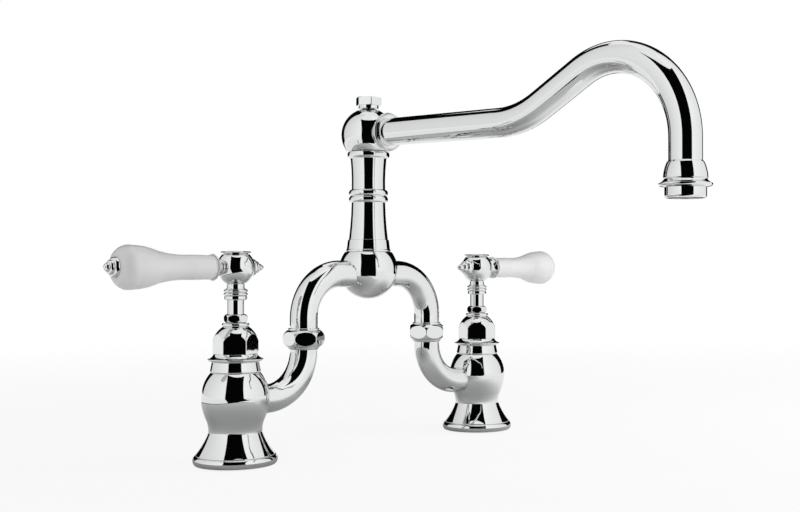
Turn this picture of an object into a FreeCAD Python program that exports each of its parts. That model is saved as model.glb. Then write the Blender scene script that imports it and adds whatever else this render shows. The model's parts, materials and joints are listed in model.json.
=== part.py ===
import FreeCAD, Part
import math
import os

# Bridge kitchen faucet: two valve columns, a two-armed bridge with unions, and a swivel spout.
# Millimetres. The origin is on the deck, midway between the inlets. +Z is up, -Y is towards
# the user, and +X is towards the right-hand valve. A column is drawn on the Z axis with its
# outlet port towards +X and its lever towards -X, and then placed.

# --- Overall layout -------------------------------------------------------------------------
INLET_CENTRES = 203.2
SPOUT_REACH = 247.0
SPOUT_AXIS_HEIGHT = 202.2
SPOUT_RUN_HEIGHT = 203.4
SPOUT_DROOP = 1.6
BRIDGE_AXIS_HEIGHT = 111.5
PORT_AXIS_HEIGHT = 36.5
UNION_OFFSET = 52.1
UNION_HEIGHT = 71.6

# --- Clearances -----------------------------------------------------------------------------
RUNNING_CLEARANCE = 0.06
FITTED_CLEARANCE = 0.05
LOOSE_CLEARANCE = 0.2
TURNING_GAP = 0.3
LAPPED_GAP = 0.05

# --- Valve body: flared foot, waist and bulb; a bow is how far an arc stands off its chord ----
FOOT_RADIUS = 24.5
FOOT_SOLE_RADIUS = 23.0
FOOT_RIM_HEIGHT = 5.4
FOOT_RIM_TOP_RADIUS = 23.4
FOOT_RIM_BOW = 0.35
FOOT_STEP = 0.6
FLARE_BOW = 0.6
WAIST_RADIUS = 15.5
WAIST_HEIGHT = 19.0
WAIST_BOW = 0.45
BULB_FOOT_RADIUS = 16.9
BULB_FOOT_HEIGHT = 26.5
BULB_RADIUS = 19.8
BULB_HEIGHT = 39.5
BULB_LOWER_BOW = 0.67
BULB_UPPER_BOW = 1.4
BODY_TOP_RADIUS = 14.3
BODY_HEIGHT = 54.0
INLET_THREAD_RADIUS = 9.316
INLET_THREAD_LENGTH = 15.0
INLET_CHANNEL_RADIUS = 6.0
BOSS_RADIUS = 12.5
SOLE_RELIEF_RADIUS = 17.5
SOLE_RELIEF_DEPTH = 3.0
GASKET_INNER_RADIUS = 18.8
GASKET_OUTER_RADIUS = 21.8
GASKET_THICKNESS = 1.6
CHAMBER_RADIUS = 10.5
CHAMBER_FLOOR = 26.0
PORT_RADIUS = 5.5
SOCKET_DEPTH = 6.5

# --- Bridge tube, unions and seals --------------------------------------------------------------
ARM_TUBE_RADIUS = 8.6
ARM_WALL = 2.0
ARM_BORE_RADIUS = ARM_TUBE_RADIUS - ARM_WALL
ELBOW_RADIUS = 27.5
UNION_HALF_HEIGHT = 5.2
UNION_BARREL_RADIUS = 6.06
UNION_THREAD_WALL = 0.7
UNION_THREAD_RADIUS = ARM_TUBE_RADIUS + UNION_THREAD_WALL
UNION_CORNER_WALL = 3.7
UNION_CORNER_RADIUS = UNION_THREAD_RADIUS + UNION_CORNER_WALL
UNION_COLLAR_STEP = 1.3
UNION_COLLAR_RADIUS = ARM_TUBE_RADIUS + UNION_COLLAR_STEP
UNION_COLLAR_HEIGHT = 1.5
UNION_NECK_WALL = 0.9
UNION_NECK_RADIUS = ARM_TUBE_RADIUS + UNION_NECK_WALL
UNION_NECK_LIP = 0.3
UNION_NECK_HEIGHT = 1.3
UNION_EDGE_BOW = 0.3
UNION_FLANGE_STEP = 0.6
UNION_FLANGE_RADIUS = ARM_TUBE_RADIUS + UNION_FLANGE_STEP
UNION_FLANGE_HEIGHT = 1.8
UNION_SEAL_THICKNESS = 1.0
LEFT_UNION_TURN = 31.0
RIGHT_UNION_TURN = 73.1

# --- Collar and dish under the bonnet ----------------------------------------------------------
COLLAR_HEIGHT = 6.2
COLLAR_BASE_RADIUS = 14.7
COLLAR_TOP_RADIUS = 13.7
COLLAR_LIP = 1.2
COLLAR_LIP_BOW = 0.25
DISH_HEIGHT = 4.7
DISH_UNDER_RADIUS = 13.4
DISH_UNDER_BOW = 0.3
DISH_LIP_RADIUS = 16.2
DISH_LIP_HEIGHT = 1.3
DISH_LIP_THICKNESS = 0.5
DISH_TOP_RADIUS = 12.6
DISH_COVE_BOW = 0.7

# --- Bonnet: hexagon with a domed crown, screwed into the body ----------------------------------
BONNET_CORNER_RADIUS = 13.3
BONNET_DOME_CENTRE = 4.6
BONNET_DOME_RADIUS = 13.5
BONNET_FLAT_HEIGHT = 15.8
CROWN_RING_RADIUS = 8.0
CROWN_RING_HEIGHT = 2.2
CROWN_RING_BOW = 0.5
CROWN_ROOT_DEPTH = 2.0
LEFT_BONNET_TURN = 37.0
RIGHT_BONNET_TURN = 45.7

# --- Gland nut, on the spindle that it seals -----------------------------------------------------
SPINDLE_RADIUS = 4.8
GLAND_CORNER_WALL = 2.3
GLAND_CORNER_RADIUS = SPINDLE_RADIUS + GLAND_CORNER_WALL
GLAND_HEIGHT = 5.2
GLAND_BARREL_RADIUS = 2.8
GLAND_THREAD_WALL = 1.1
GLAND_THREAD_RADIUS = SPINDLE_RADIUS + GLAND_THREAD_WALL
GLAND_THREAD_LENGTH = 4.6
LEFT_GLAND_TURN = 45.0
RIGHT_GLAND_TURN = 45.7

# --- Cartridge: housing, seat seal, two ceramic discs --------------------------------------------
SEAT_SEAL_THICKNESS = 2.3
SEAT_SEAL_BORE = 6.2
SLEEVE_RADIUS = 9.6
SLEEVE_BORE = 8.0
SLEEVE_HEIGHT = 15.7
SLEEVE_WINDOW_RADIUS = 3.0
HOUSING_FLANGE_RADIUS = 10.2
HOUSING_FLANGE_HEIGHT = 3.8
BARREL_WALL = 2.2
BARREL_RADIUS = SPINDLE_RADIUS + BARREL_WALL
DISC_THICKNESS = 3.0
DISC_HOLE_RADIUS = 2.2
DISC_HOLE_OFFSET = 4.3
KEY_WIDTH = 3.0
KEY_LENGTH = 10.0
KEY_DEPTH = 1.2

# --- Spindle ------------------------------------------------------------------------------------
SPINDLE_FOOT_STEP = 2.0
SPINDLE_FOOT_RADIUS = SPINDLE_RADIUS + SPINDLE_FOOT_STEP
SPINDLE_FOOT_HEIGHT = 1.9
SPINDLE_EXPOSED = 8.3
SPLINE_RADIUS = 3.8
SPLINE_LENGTH = 9.0
SEAL_GROOVE_DEPTH = 1.8
SEAL_GROOVE_RADIUS = SPINDLE_RADIUS - SEAL_GROOVE_DEPTH
SEAL_GROOVE_WIDTH = 2.0
SEAL_CORD_RADIUS = 0.9
SEAL_FIRST_HEIGHT = 54.0
SEAL_SPACING = 8.0
SEAL_COUNT = 2

# --- Stem collar below the hub ------------------------------------------------------------------
STEM_COLLAR_HEIGHT = 6.3
STEM_COLLAR_FOOT_WALL = 1.8
STEM_COLLAR_FOOT_RADIUS = SPINDLE_RADIUS + STEM_COLLAR_FOOT_WALL
STEM_COLLAR_FOOT_HEIGHT = 2.3
STEM_COLLAR_FOOT_ROUND = 0.6
STEM_COLLAR_FOOT_BOW = 0.15
STEM_BEAD_GROOVE_WALL = 1.4
STEM_BEAD_GROOVE_RADIUS = SPINDLE_RADIUS + STEM_BEAD_GROOVE_WALL
STEM_BEAD_PROUD = 0.8
STEM_BEAD_RADIUS = STEM_BEAD_GROOVE_RADIUS + STEM_BEAD_PROUD
STEM_BEAD_COUNT = 2

# --- Handle hub, cap and screw ------------------------------------------------------------------
HUB_RADIUS = 11.0
HUB_NECK_BASE_RADIUS = 5.7
HUB_NECK_BASE_HEIGHT = 0.6
HUB_NECK_RADIUS = 5.1
HUB_NECK_HEIGHT = 3.2
HUB_NECK_TOP_RADIUS = 6.6
HUB_NECK_TOP_HEIGHT = 5.0
HUB_NECK_BOW = 0.35
HUB_CENTRE_RISE = 12.9
HUB_CROWN_RISE = 8.4
HUB_FLAT_OFFSET = 10.0
HUB_RECESS_RADIUS = 5.2
HUB_RECESS_DEPTH = 5.6
HUB_SOCKET_INNER = 6.2
CAP_RADIUS = 9.0
CAP_THICKNESS = 1.3
CAP_EDGE = 0.4
CAP_DOME_RADIUS = 8.4
CAP_DOME_RISE = 0.3
CAP_PLUG_HEIGHT = 2.0
SCREW_HEAD_RADIUS = 4.2
SCREW_HEAD_HEIGHT = 3.0
SCREW_SHANK_RADIUS = 2.4
SCREW_SHANK_LENGTH = 11.0
SCREW_KEY_RADIUS = 2.0
SCREW_KEY_DEPTH = 1.8

# --- Lever: ferrule, porcelain grip, rod and finials; lengths run out from the column axis --------
ROD_RADIUS = 2.5
FERRULE_LENGTH = 6.2
FERRULE_RING_RADIUS = 4.9
FERRULE_RING_LENGTH = 1.8
FERRULE_THROAT_RADIUS = 4.2
FERRULE_RIM_RADIUS = 7.7
FERRULE_RIM_LENGTH = 0.6
FERRULE_RIM_BOW = 0.15
FERRULE_FLARE_BOW = 0.7
FERRULE_CUP_DEPTH = 1.15
GRIP_BORE = ROD_RADIUS + LOOSE_CLEARANCE
GRIP_ROOT_RADIUS = 7.0
GRIP_NECK_RADIUS = 7.25
GRIP_NECK_DISTANCE = 30.0
GRIP_SWELL_RADIUS = 9.4
GRIP_SWELL_DISTANCE = 52.0
GRIP_SWELL_BOW = 0.9
GRIP_BULGE_RADIUS = 12.3
GRIP_BULGE_DISTANCE = 67.0
GRIP_BULGE_BOW = 0.7
GRIP_END_RADIUS = 6.8
GRIP_END_DISTANCE = 76.5
GRIP_END_BOW = 2.1
END_FINIAL_THREAD = 3.0
END_FINIAL_STEPS = ((5.9, 4.7, 2.2), (4.1, 3.2, 1.9), (2.5, 1.5, 1.9))
HUB_FINIAL_STEPS = ((5.4, 4.4, 2.7), (3.9, 3.0, 2.5), (2.3, 1.2, 3.2))
FINIAL_STEP_BOW = 0.3
FINIAL_TIP = 0.8
STUD_RADIUS = ROD_RADIUS

# --- Centre of the bridge: ball, collar, pillar -------------------------------------------------
BALL_RADIUS = 19.1
BALL_CENTRE_RISE = 2.7
BALL_TOP_RISE = 11.5
BALL_BORE = 7.0
BALL_SOCKET_INNER = 12.0
PILLAR_SPIGOT_RADIUS = 9.2
PILLAR_SPIGOT_LENGTH = 14.5
PILLAR_BORE = 7.0
PILLAR_COLLAR_HEIGHT = 8.0
PILLAR_COLLAR_BASE_RADIUS = 14.1
PILLAR_COLLAR_LIP_HEIGHT = 1.8
PILLAR_COLLAR_LIP_BOW = 0.45
PILLAR_COLLAR_TOP_RADIUS = 13.3
PILLAR_HEIGHT = 53.7
PILLAR_BASE_RADIUS = 12.7
PILLAR_WAIST_RADIUS = 10.9
PILLAR_TOP_RADIUS = 11.6
PILLAR_TAPER_BOW = 0.35
PILLAR_COVE_HEIGHT = 1.3
PILLAR_COVE_RADIUS = 12.4
PILLAR_COVE_BOW = 0.25
PILLAR_BEAD_BASE = 24.4
PILLAR_BEAD_GROOVE_RADIUS = 11.7
PILLAR_BEAD_BOW = 1.0
PILLAR_BEAD_PITCH = 4.1
PILLAR_BEAD_COUNT = 2
SWIVEL_RING_HEIGHT = 3.8
SWIVEL_RING_RADIUS = 13.65
SWIVEL_RING_EDGE = 0.6
SWIVEL_RING_BOW = 0.2

# --- Swivel post inside the spout hub -----------------------------------------------------------
POST_RADIUS = 9.0
POST_SPIGOT_RADIUS = 8.0
POST_SPIGOT_LENGTH = 12.0
POST_BORE = 6.0
POST_WINDOW_RADIUS = 4.5
POST_HEAD_HEIGHT = 9.5
POST_SEAL_GROOVE_RADIUS = 7.2
POST_SEAL_CORD_RADIUS = 0.9
POST_LOWER_SEAL_DROP = 6.3
POST_UPPER_SEAL_RISE = 9.0
BUSH_OUTER_RADIUS = 11.0
BUSH_HEIGHT = 2.6

# --- Spout hub, its finial screw and spout collar -----------------------------------------------
SPOUT_TUBE_RADIUS = 8.7
SPOUT_HUB_RADIUS = 17.6
SPOUT_HUB_CROWN_RISE = 17.0
SPOUT_HUB_SHOULDER_RISE = 12.5
FINIAL_NECK_RADIUS = 6.5
FINIAL_NECK_HEIGHT = 2.1
FINIAL_HEX_CORNER = 8.6
FINIAL_HEX_HEIGHT = 5.3
FINIAL_EDGE = 0.5
FINIAL_SHANK_RADIUS = 3.5
FINIAL_THREAD_LENGTH = 6.5
FINIAL_TURN = 58.2
SPOUT_COLLAR_SEAT = 15.0
SPOUT_COLLAR_LENGTH = 5.5
SPOUT_COLLAR_WALL = 0.7
SPOUT_COLLAR_BASE_RADIUS = SPOUT_TUBE_RADIUS + SPOUT_COLLAR_WALL
SPOUT_COLLAR_FLARE = 2.8
SPOUT_COLLAR_RIM_RADIUS = SPOUT_COLLAR_BASE_RADIUS + SPOUT_COLLAR_FLARE
SPOUT_COLLAR_RIM_LENGTH = 1.0
SPOUT_COLLAR_RIM_BOW = 0.2
SPOUT_COLLAR_FLARE_BOW = 0.6
SPOUT_COLLAR_FACE_DEPTH = 1.3
SPOUT_COLLAR_FACE_BOW = 0.4

# --- Spout tube ---------------------------------------------------------------------------------
SPOUT_WALL = 1.5
SPOUT_BORE_RADIUS = SPOUT_TUBE_RADIUS - SPOUT_WALL
SPOUT_TUBE_START = 10.4
SPOUT_BEND_DISTANCE = 134.9
SPOUT_BEND_RADIUS = 66.0
SPOUT_SLOPE = 27.5
SPOUT_ARC_RADIUS = 46.4
SPOUT_TUBE_END = 164.0

# --- Outlet bell and aerator --------------------------------------------------------------------
BELL_TOP = 169.6
BELL_BOTTOM = 156.1
BELL_TOP_WALL = 0.2
BELL_TOP_RADIUS = SPOUT_TUBE_RADIUS + BELL_TOP_WALL
BELL_SHOULDER_WALL = 0.9
BELL_SHOULDER_RADIUS = SPOUT_TUBE_RADIUS + BELL_SHOULDER_WALL
BELL_SHOULDER_DROP = 0.9
BELL_BODY_WALL = 2.7
BELL_BODY_RADIUS = SPOUT_TUBE_RADIUS + BELL_BODY_WALL
BELL_STEP_HEIGHT = 160.3
BELL_STEP = 0.5
BELL_LIP_FLARE = 2.3
BELL_LIP_RADIUS = BELL_BODY_RADIUS + BELL_LIP_FLARE
BELL_LIP_TOP = 158.1
BELL_LIP_UNDERCUT = 0.6
BELL_LIP_UNDER_RADIUS = BELL_LIP_RADIUS - BELL_LIP_UNDERCUT
BELL_LIP_UNDER = 156.7
BELL_BODY_BOW = 0.4
BELL_FLARE_BOW = 0.35
BELL_LIP_BOW = 0.25
BELL_THREAD_STEP = 2.4
BELL_THREAD_RADIUS = SPOUT_BORE_RADIUS + BELL_THREAD_STEP
BELL_SEAT_HEIGHT = 160.5
AERATOR_WALL = 1.1
AERATOR_RADIUS = BELL_THREAD_RADIUS + AERATOR_WALL
AERATOR_BOTTOM = 150.6
AERATOR_EDGE = 1.3
AERATOR_EDGE_BOW = 0.35
AERATOR_NECK_RADIUS = BELL_THREAD_RADIUS - FITTED_CLEARANCE
AERATOR_BORE = 8.2
AERATOR_MOUTH_RADIUS = 7.4
AERATOR_LEDGE_HEIGHT = 1.4
INSERT_FLANGE_HEIGHT = 1.2
SCREEN_BAR_WIDTH = 0.9
SCREEN_PITCH = 2.6
SCREEN_THICKNESS = 1.0
OUTLET_SEAL_THICKNESS = 1.2

# --- Heights and distances worked out from the sizes above ----------------------------------------
DISH_BASE = BODY_HEIGHT + COLLAR_HEIGHT
BONNET_BASE = DISH_BASE + DISH_HEIGHT
CROWN_BASE = BONNET_BASE + BONNET_FLAT_HEIGHT
GLAND_BASE = CROWN_BASE + CROWN_RING_HEIGHT
GLAND_TOP = GLAND_BASE + GLAND_HEIGHT
STEM_COLLAR_BASE = GLAND_TOP + SPINDLE_EXPOSED
HUB_BASE = STEM_COLLAR_BASE + STEM_COLLAR_HEIGHT
LEVER_AXIS_HEIGHT = HUB_BASE + HUB_CENTRE_RISE
HUB_CROWN = LEVER_AXIS_HEIGHT + HUB_CROWN_RISE
HUB_RECESS_FLOOR = HUB_CROWN - HUB_RECESS_DEPTH
SPLINE_TOP = HUB_BASE + SPLINE_LENGTH
SLEEVE_BASE = CHAMBER_FLOOR + SEAT_SEAL_THICKNESS
SLEEVE_TOP = SLEEVE_BASE + SLEEVE_HEIGHT
HOUSING_FLANGE_TOP = SLEEVE_TOP + HOUSING_FLANGE_HEIGHT
HOUSING_TOP = GLAND_BASE - GLAND_THREAD_LENGTH
BONNET_SHANK_RADIUS = CHAMBER_RADIUS - FITTED_CLEARANCE
RING_BORE = BONNET_SHANK_RADIUS + LOOSE_CLEARANCE
MOVING_DISC_BASE = SLEEVE_BASE + DISC_THICKNESS + LAPPED_GAP
SPINDLE_BASE = MOVING_DISC_BASE + DISC_THICKNESS
FERRULE_END = HUB_FLAT_OFFSET + FERRULE_LENGTH
GRIP_START = FERRULE_END - FERRULE_CUP_DEPTH
BALL_CENTRE = BRIDGE_AXIS_HEIGHT + BALL_CENTRE_RISE
BALL_TOP = BALL_CENTRE + BALL_TOP_RISE
PILLAR_BASE = BALL_TOP + PILLAR_COLLAR_HEIGHT
PILLAR_TOP = PILLAR_BASE + PILLAR_HEIGHT
SWIVEL_TOP = PILLAR_TOP + SWIVEL_RING_HEIGHT
HUB_SHOULDER = SPOUT_AXIS_HEIGHT + SPOUT_HUB_SHOULDER_RISE
SPOUT_HUB_CROWN = SPOUT_AXIS_HEIGHT + SPOUT_HUB_CROWN_RISE
FINIAL_SEAT = SPOUT_HUB_CROWN + TURNING_GAP
POST_TOP = HUB_SHOULDER - TURNING_GAP

LEFT = -1
RIGHT = 1
SIDES = (("left", LEFT), ("right", RIGHT))
TOWARDS_BRIDGE = FreeCAD.Vector(1, 0, 0)
ALONG_LEVER = FreeCAD.Vector(-1, 0, 0)
ALONG_SPOUT = FreeCAD.Vector(0, -1, 0)
ALONG_RUN = FreeCAD.Vector(0, -1, -math.tan(math.radians(SPOUT_DROOP))).normalize()
UP = FreeCAD.Vector(0, 0, 1)
ORIGIN = FreeCAD.Vector(0, 0, 0)


class Outline:
    """Half section of a turned piece: points (radius, height) joined by lines and arcs."""

    def __init__(self, radius, height):
        self.start = FreeCAD.Vector(radius, 0, height)
        self.at = self.start
        self.edges = []

    def line(self, radius, height):
        end = FreeCAD.Vector(radius, 0, height)
        self.edges.append(Part.LineSegment(self.at, end).toShape())
        self.at = end
        return self

    def arc(self, radius, height, bow):
        """Arc whose middle stands bow to the right of its chord, seen along the path."""
        end = FreeCAD.Vector(radius, 0, height)
        chord = end - self.at
        side = FreeCAD.Vector(chord.z, 0, -chord.x).normalize()
        middle = (self.at + end) * 0.5 + side * bow
        self.edges.append(Part.Arc(self.at, middle, end).toShape())
        self.at = end
        return self

    def dome(self, top):
        """Arc of a sphere centred on the axis, from here up to the axis."""
        rise = top - self.at.z
        radius = (self.at.x ** 2 + rise ** 2) / (2 * rise)
        centre = top - radius
        angle = (math.atan2(self.at.z - centre, self.at.x) + math.pi / 2) / 2
        end = FreeCAD.Vector(0, 0, top)
        middle = FreeCAD.Vector(radius * math.cos(angle), 0, centre + radius * math.sin(angle))
        self.edges.append(Part.Arc(self.at, middle, end).toShape())
        self.at = end
        return self

    def turned(self):
        """Close the section with a straight line and turn it about the Z axis."""
        if (self.at - self.start).Length > 0:
            self.line(self.start.x, self.start.z)
        face = Part.Face(Part.Wire(self.edges))
        return face.revolve(ORIGIN, UP, 360)


def disc(radius, bottom, top):
    return Part.makeCylinder(radius, top - bottom, FreeCAD.Vector(0, 0, bottom))


def ring(inner, outer, bottom, top):
    return disc(outer, bottom, top).cut(disc(inner, bottom, top))


def hexagon(corner_radius, bottom, top, turn):
    """Hexagonal bar; the normal of one flat is turned this far from -Y towards -X, in degrees."""
    corners = []
    for step in range(7):
        angle = math.radians(60.0 * step - 60.0 - turn)
        x = corner_radius * math.cos(angle)
        y = corner_radius * math.sin(angle)
        corners.append(FreeCAD.Vector(x, y, bottom))
    face = Part.Face(Part.makePolygon(corners))
    return face.extrude(FreeCAD.Vector(0, 0, top - bottom))


def barrel_nut(corner_radius, barrel_radius, bottom, top, turn):
    """Hexagon nut turned to a barrel, which leaves an oval on every flat."""
    half = (top - bottom) / 2
    bow = barrel_radius - math.sqrt(barrel_radius ** 2 - half ** 2)
    end_radius = corner_radius - bow
    barrel = (
        Outline(0, bottom)
        .line(end_radius, bottom)
        .arc(end_radius, top, bow)
        .line(0, top)
        .turned()
    )
    return barrel.common(hexagon(corner_radius, bottom, top, turn))


def o_rings(groove_radius, cord_radius, heights):
    """Round rubber rings lying in their grooves, one at each height."""
    centre = groove_radius + cord_radius + LAPPED_GAP / 2
    rings = [Part.makeTorus(centre, cord_radius, UP * height) for height in heights]
    return Part.makeCompound(rings)


def laid(shape, direction, height):
    """Turn a piece drawn along +Z to lie along a level direction, and lift it to a height."""
    moved = shape.copy()
    turn = FreeCAD.Placement(ORIGIN, FreeCAD.Rotation(UP, direction))
    lift = FreeCAD.Placement(UP * height, FreeCAD.Rotation())
    moved.Placement = lift.multiply(turn).multiply(moved.Placement)
    return moved


def less(shape, cuts):
    for cut in cuts:
        shape = shape.cut(cut)
    return shape


def half_turned(shape):
    moved = shape.copy()
    moved.rotate(ORIGIN, UP, 180)
    return moved


def on_inlet(shape, side):
    """Put a column piece on its inlet; the right-hand one is turned half round."""
    moved = half_turned(shape) if side == RIGHT else shape.copy()
    moved.translate(FreeCAD.Vector(side * INLET_CENTRES / 2, 0, 0))
    return moved


def on_arm(shape, side):
    """An arm piece is drawn on the right; the left-hand one is turned half round."""
    return half_turned(shape) if side == LEFT else shape


def tube_along(edges, outer, inner, start, direction):
    """Tube swept along edges that run tangent into each other."""
    wire = Part.Wire(edges)
    solids = []
    for radius in (outer, inner):
        circle = Part.Wire(Part.makeCircle(radius, start, direction))
        solids.append(wire.makePipeShell([circle], True, False))
    return solids[0].cut(solids[1])


# --- Valve column ---------------------------------------------------------------------------------
def valve_body():
    flare_radius = FOOT_RIM_TOP_RADIUS - FOOT_STEP
    shell = (
        Outline(0, 0)
        .line(FOOT_SOLE_RADIUS, 0)
        .arc(FOOT_RADIUS, FOOT_RIM_HEIGHT / 2, FOOT_RIM_BOW)
        .arc(FOOT_RIM_TOP_RADIUS, FOOT_RIM_HEIGHT, FOOT_RIM_BOW)
        .line(flare_radius, FOOT_RIM_HEIGHT)
        .line(flare_radius, FOOT_RIM_HEIGHT + FOOT_STEP)
        .arc(WAIST_RADIUS, WAIST_HEIGHT, -FLARE_BOW)
        .arc(BULB_FOOT_RADIUS, BULB_FOOT_HEIGHT, -WAIST_BOW)
        .arc(BULB_RADIUS, BULB_HEIGHT, BULB_LOWER_BOW)
        .arc(BODY_TOP_RADIUS, BODY_HEIGHT, BULB_UPPER_BOW)
        .line(0, BODY_HEIGHT)
        .turned()
    )
    socket_start = BULB_RADIUS - SOCKET_DEPTH
    port = disc(PORT_RADIUS, 0, BULB_RADIUS)
    socket = disc(ARM_TUBE_RADIUS + FITTED_CLEARANCE, socket_start, FOOT_RADIUS)
    return less(shell, [
        disc(INLET_THREAD_RADIUS, 0, INLET_THREAD_LENGTH),
        disc(INLET_CHANNEL_RADIUS, 0, CHAMBER_FLOOR),
        disc(CHAMBER_RADIUS, CHAMBER_FLOOR, BODY_HEIGHT),
        ring(BOSS_RADIUS, SOLE_RELIEF_RADIUS, 0, SOLE_RELIEF_DEPTH),
        ring(GASKET_INNER_RADIUS, GASKET_OUTER_RADIUS, 0, GASKET_THICKNESS),
        laid(port, TOWARDS_BRIDGE, PORT_AXIS_HEIGHT),
        laid(socket, TOWARDS_BRIDGE, PORT_AXIS_HEIGHT),
    ])


def base_gasket():
    inner = GASKET_INNER_RADIUS + FITTED_CLEARANCE
    outer = GASKET_OUTER_RADIUS - FITTED_CLEARANCE
    return ring(inner, outer, 0, GASKET_THICKNESS)


def body_collar():
    lip_top = BODY_HEIGHT + COLLAR_LIP
    return (
        Outline(RING_BORE, BODY_HEIGHT)
        .line(BODY_TOP_RADIUS, BODY_HEIGHT)
        .arc(COLLAR_BASE_RADIUS, lip_top, COLLAR_LIP_BOW)
        .line(COLLAR_TOP_RADIUS, DISH_BASE)
        .line(RING_BORE, DISH_BASE)
        .turned()
    )


def dish_washer():
    lip_base = DISH_BASE + DISH_LIP_HEIGHT
    return (
        Outline(RING_BORE, DISH_BASE)
        .line(DISH_UNDER_RADIUS, DISH_BASE)
        .arc(DISH_LIP_RADIUS, lip_base, DISH_UNDER_BOW)
        .line(DISH_LIP_RADIUS, lip_base + DISH_LIP_THICKNESS)
        .arc(DISH_TOP_RADIUS, BONNET_BASE, -DISH_COVE_BOW)
        .line(RING_BORE, BONNET_BASE)
        .turned()
    )


def bonnet_nut(turn):
    flats = hexagon(BONNET_CORNER_RADIUS, BONNET_BASE, CROWN_BASE, turn)
    dome_height = BONNET_BASE + BONNET_DOME_CENTRE
    dome = Part.makeSphere(BONNET_DOME_RADIUS, UP * dome_height)
    head = flats.common(dome.fuse(disc(BONNET_DOME_RADIUS, BONNET_BASE, dome_height)))
    crown_radius = CROWN_RING_RADIUS - CROWN_RING_BOW
    crown = (
        Outline(0, CROWN_BASE - CROWN_ROOT_DEPTH)
        .line(crown_radius, CROWN_BASE - CROWN_ROOT_DEPTH)
        .line(crown_radius, CROWN_BASE)
        .arc(crown_radius, GLAND_BASE, CROWN_RING_BOW)
        .line(0, GLAND_BASE)
        .turned()
    )
    shank = disc(BONNET_SHANK_RADIUS, HOUSING_FLANGE_TOP, BONNET_BASE)
    nut = head.fuse([shank, crown]).removeSplitter()
    return less(nut, [
        disc(BARREL_RADIUS + FITTED_CLEARANCE, HOUSING_FLANGE_TOP, HOUSING_TOP),
        disc(GLAND_THREAD_RADIUS + FITTED_CLEARANCE, HOUSING_TOP, GLAND_BASE),
    ])


def gland_nut(turn):
    head = barrel_nut(GLAND_CORNER_RADIUS, GLAND_BARREL_RADIUS, GLAND_BASE, GLAND_TOP, turn)
    thread = disc(GLAND_THREAD_RADIUS, HOUSING_TOP, GLAND_BASE)
    bore = disc(SPINDLE_RADIUS + RUNNING_CLEARANCE, HOUSING_TOP, GLAND_TOP)
    return head.fuse(thread).cut(bore)


def seat_seal():
    return ring(SEAT_SEAL_BORE, SLEEVE_RADIUS, CHAMBER_FLOOR, SLEEVE_BASE)


def cartridge_housing():
    bore = SPINDLE_RADIUS + RUNNING_CLEARANCE
    shell = (
        Outline(SLEEVE_BORE, SLEEVE_BASE)
        .line(SLEEVE_RADIUS, SLEEVE_BASE)
        .line(SLEEVE_RADIUS, SLEEVE_TOP)
        .line(HOUSING_FLANGE_RADIUS, SLEEVE_TOP)
        .line(HOUSING_FLANGE_RADIUS, HOUSING_FLANGE_TOP)
        .line(BARREL_RADIUS, HOUSING_FLANGE_TOP)
        .line(BARREL_RADIUS, HOUSING_TOP)
        .line(bore, HOUSING_TOP)
        .line(bore, SLEEVE_TOP)
        .line(SLEEVE_BORE, SLEEVE_TOP)
        .turned()
    )
    window = disc(SLEEVE_WINDOW_RADIUS, -SLEEVE_RADIUS, SLEEVE_RADIUS)
    window_height = (SPINDLE_BASE + SPINDLE_FOOT_HEIGHT + SLEEVE_TOP) / 2
    return shell.cut(laid(window, TOWARDS_BRIDGE, window_height))


def holed_disc(radius, bottom, across):
    """Ceramic disc with two ports on a line through its centre."""
    plate = disc(radius, bottom, bottom + DISC_THICKNESS)
    for way in (-1, 1):
        port = disc(DISC_HOLE_RADIUS, bottom, bottom + DISC_THICKNESS)
        port.translate(across * (way * DISC_HOLE_OFFSET))
        plate = plate.cut(port)
    return plate


def fixed_disc():
    return holed_disc(SLEEVE_BORE - FITTED_CLEARANCE, SLEEVE_BASE, ALONG_SPOUT)


def drive_key(clearance):
    width = KEY_WIDTH + 2 * clearance
    length = KEY_LENGTH + 2 * clearance
    depth = KEY_DEPTH + clearance
    corner = FreeCAD.Vector(-width / 2, -length / 2, SPINDLE_BASE - depth)
    return Part.makeBox(width, length, depth, corner)


def moving_disc():
    plate = holed_disc(SLEEVE_BORE - TURNING_GAP, MOVING_DISC_BASE, TOWARDS_BRIDGE)
    return plate.cut(drive_key(FITTED_CLEARANCE))


def spindle_seal_heights():
    return [SEAL_FIRST_HEIGHT + SEAL_SPACING * step for step in range(SEAL_COUNT)]


def seal_grooves(groove_radius, shaft_radius, heights):
    half = SEAL_GROOVE_WIDTH / 2
    return [ring(groove_radius, shaft_radius, low - half, low + half) for low in heights]


def spindle():
    shoulder = SPINDLE_BASE + SPINDLE_FOOT_HEIGHT
    rod = disc(SPINDLE_FOOT_RADIUS, SPINDLE_BASE, shoulder).fuse([
        disc(SPINDLE_RADIUS, shoulder, HUB_BASE),
        disc(SPLINE_RADIUS, HUB_BASE, SPLINE_TOP),
        drive_key(0),
    ])
    tapping = disc(SCREW_SHANK_RADIUS, HUB_RECESS_FLOOR - SCREW_SHANK_LENGTH, SPLINE_TOP)
    grooves = seal_grooves(SEAL_GROOVE_RADIUS, SPINDLE_RADIUS, spindle_seal_heights())
    return less(rod.removeSplitter(), grooves + [tapping])


def spindle_seals():
    return o_rings(SEAL_GROOVE_RADIUS, SEAL_CORD_RADIUS, spindle_seal_heights())


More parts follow.
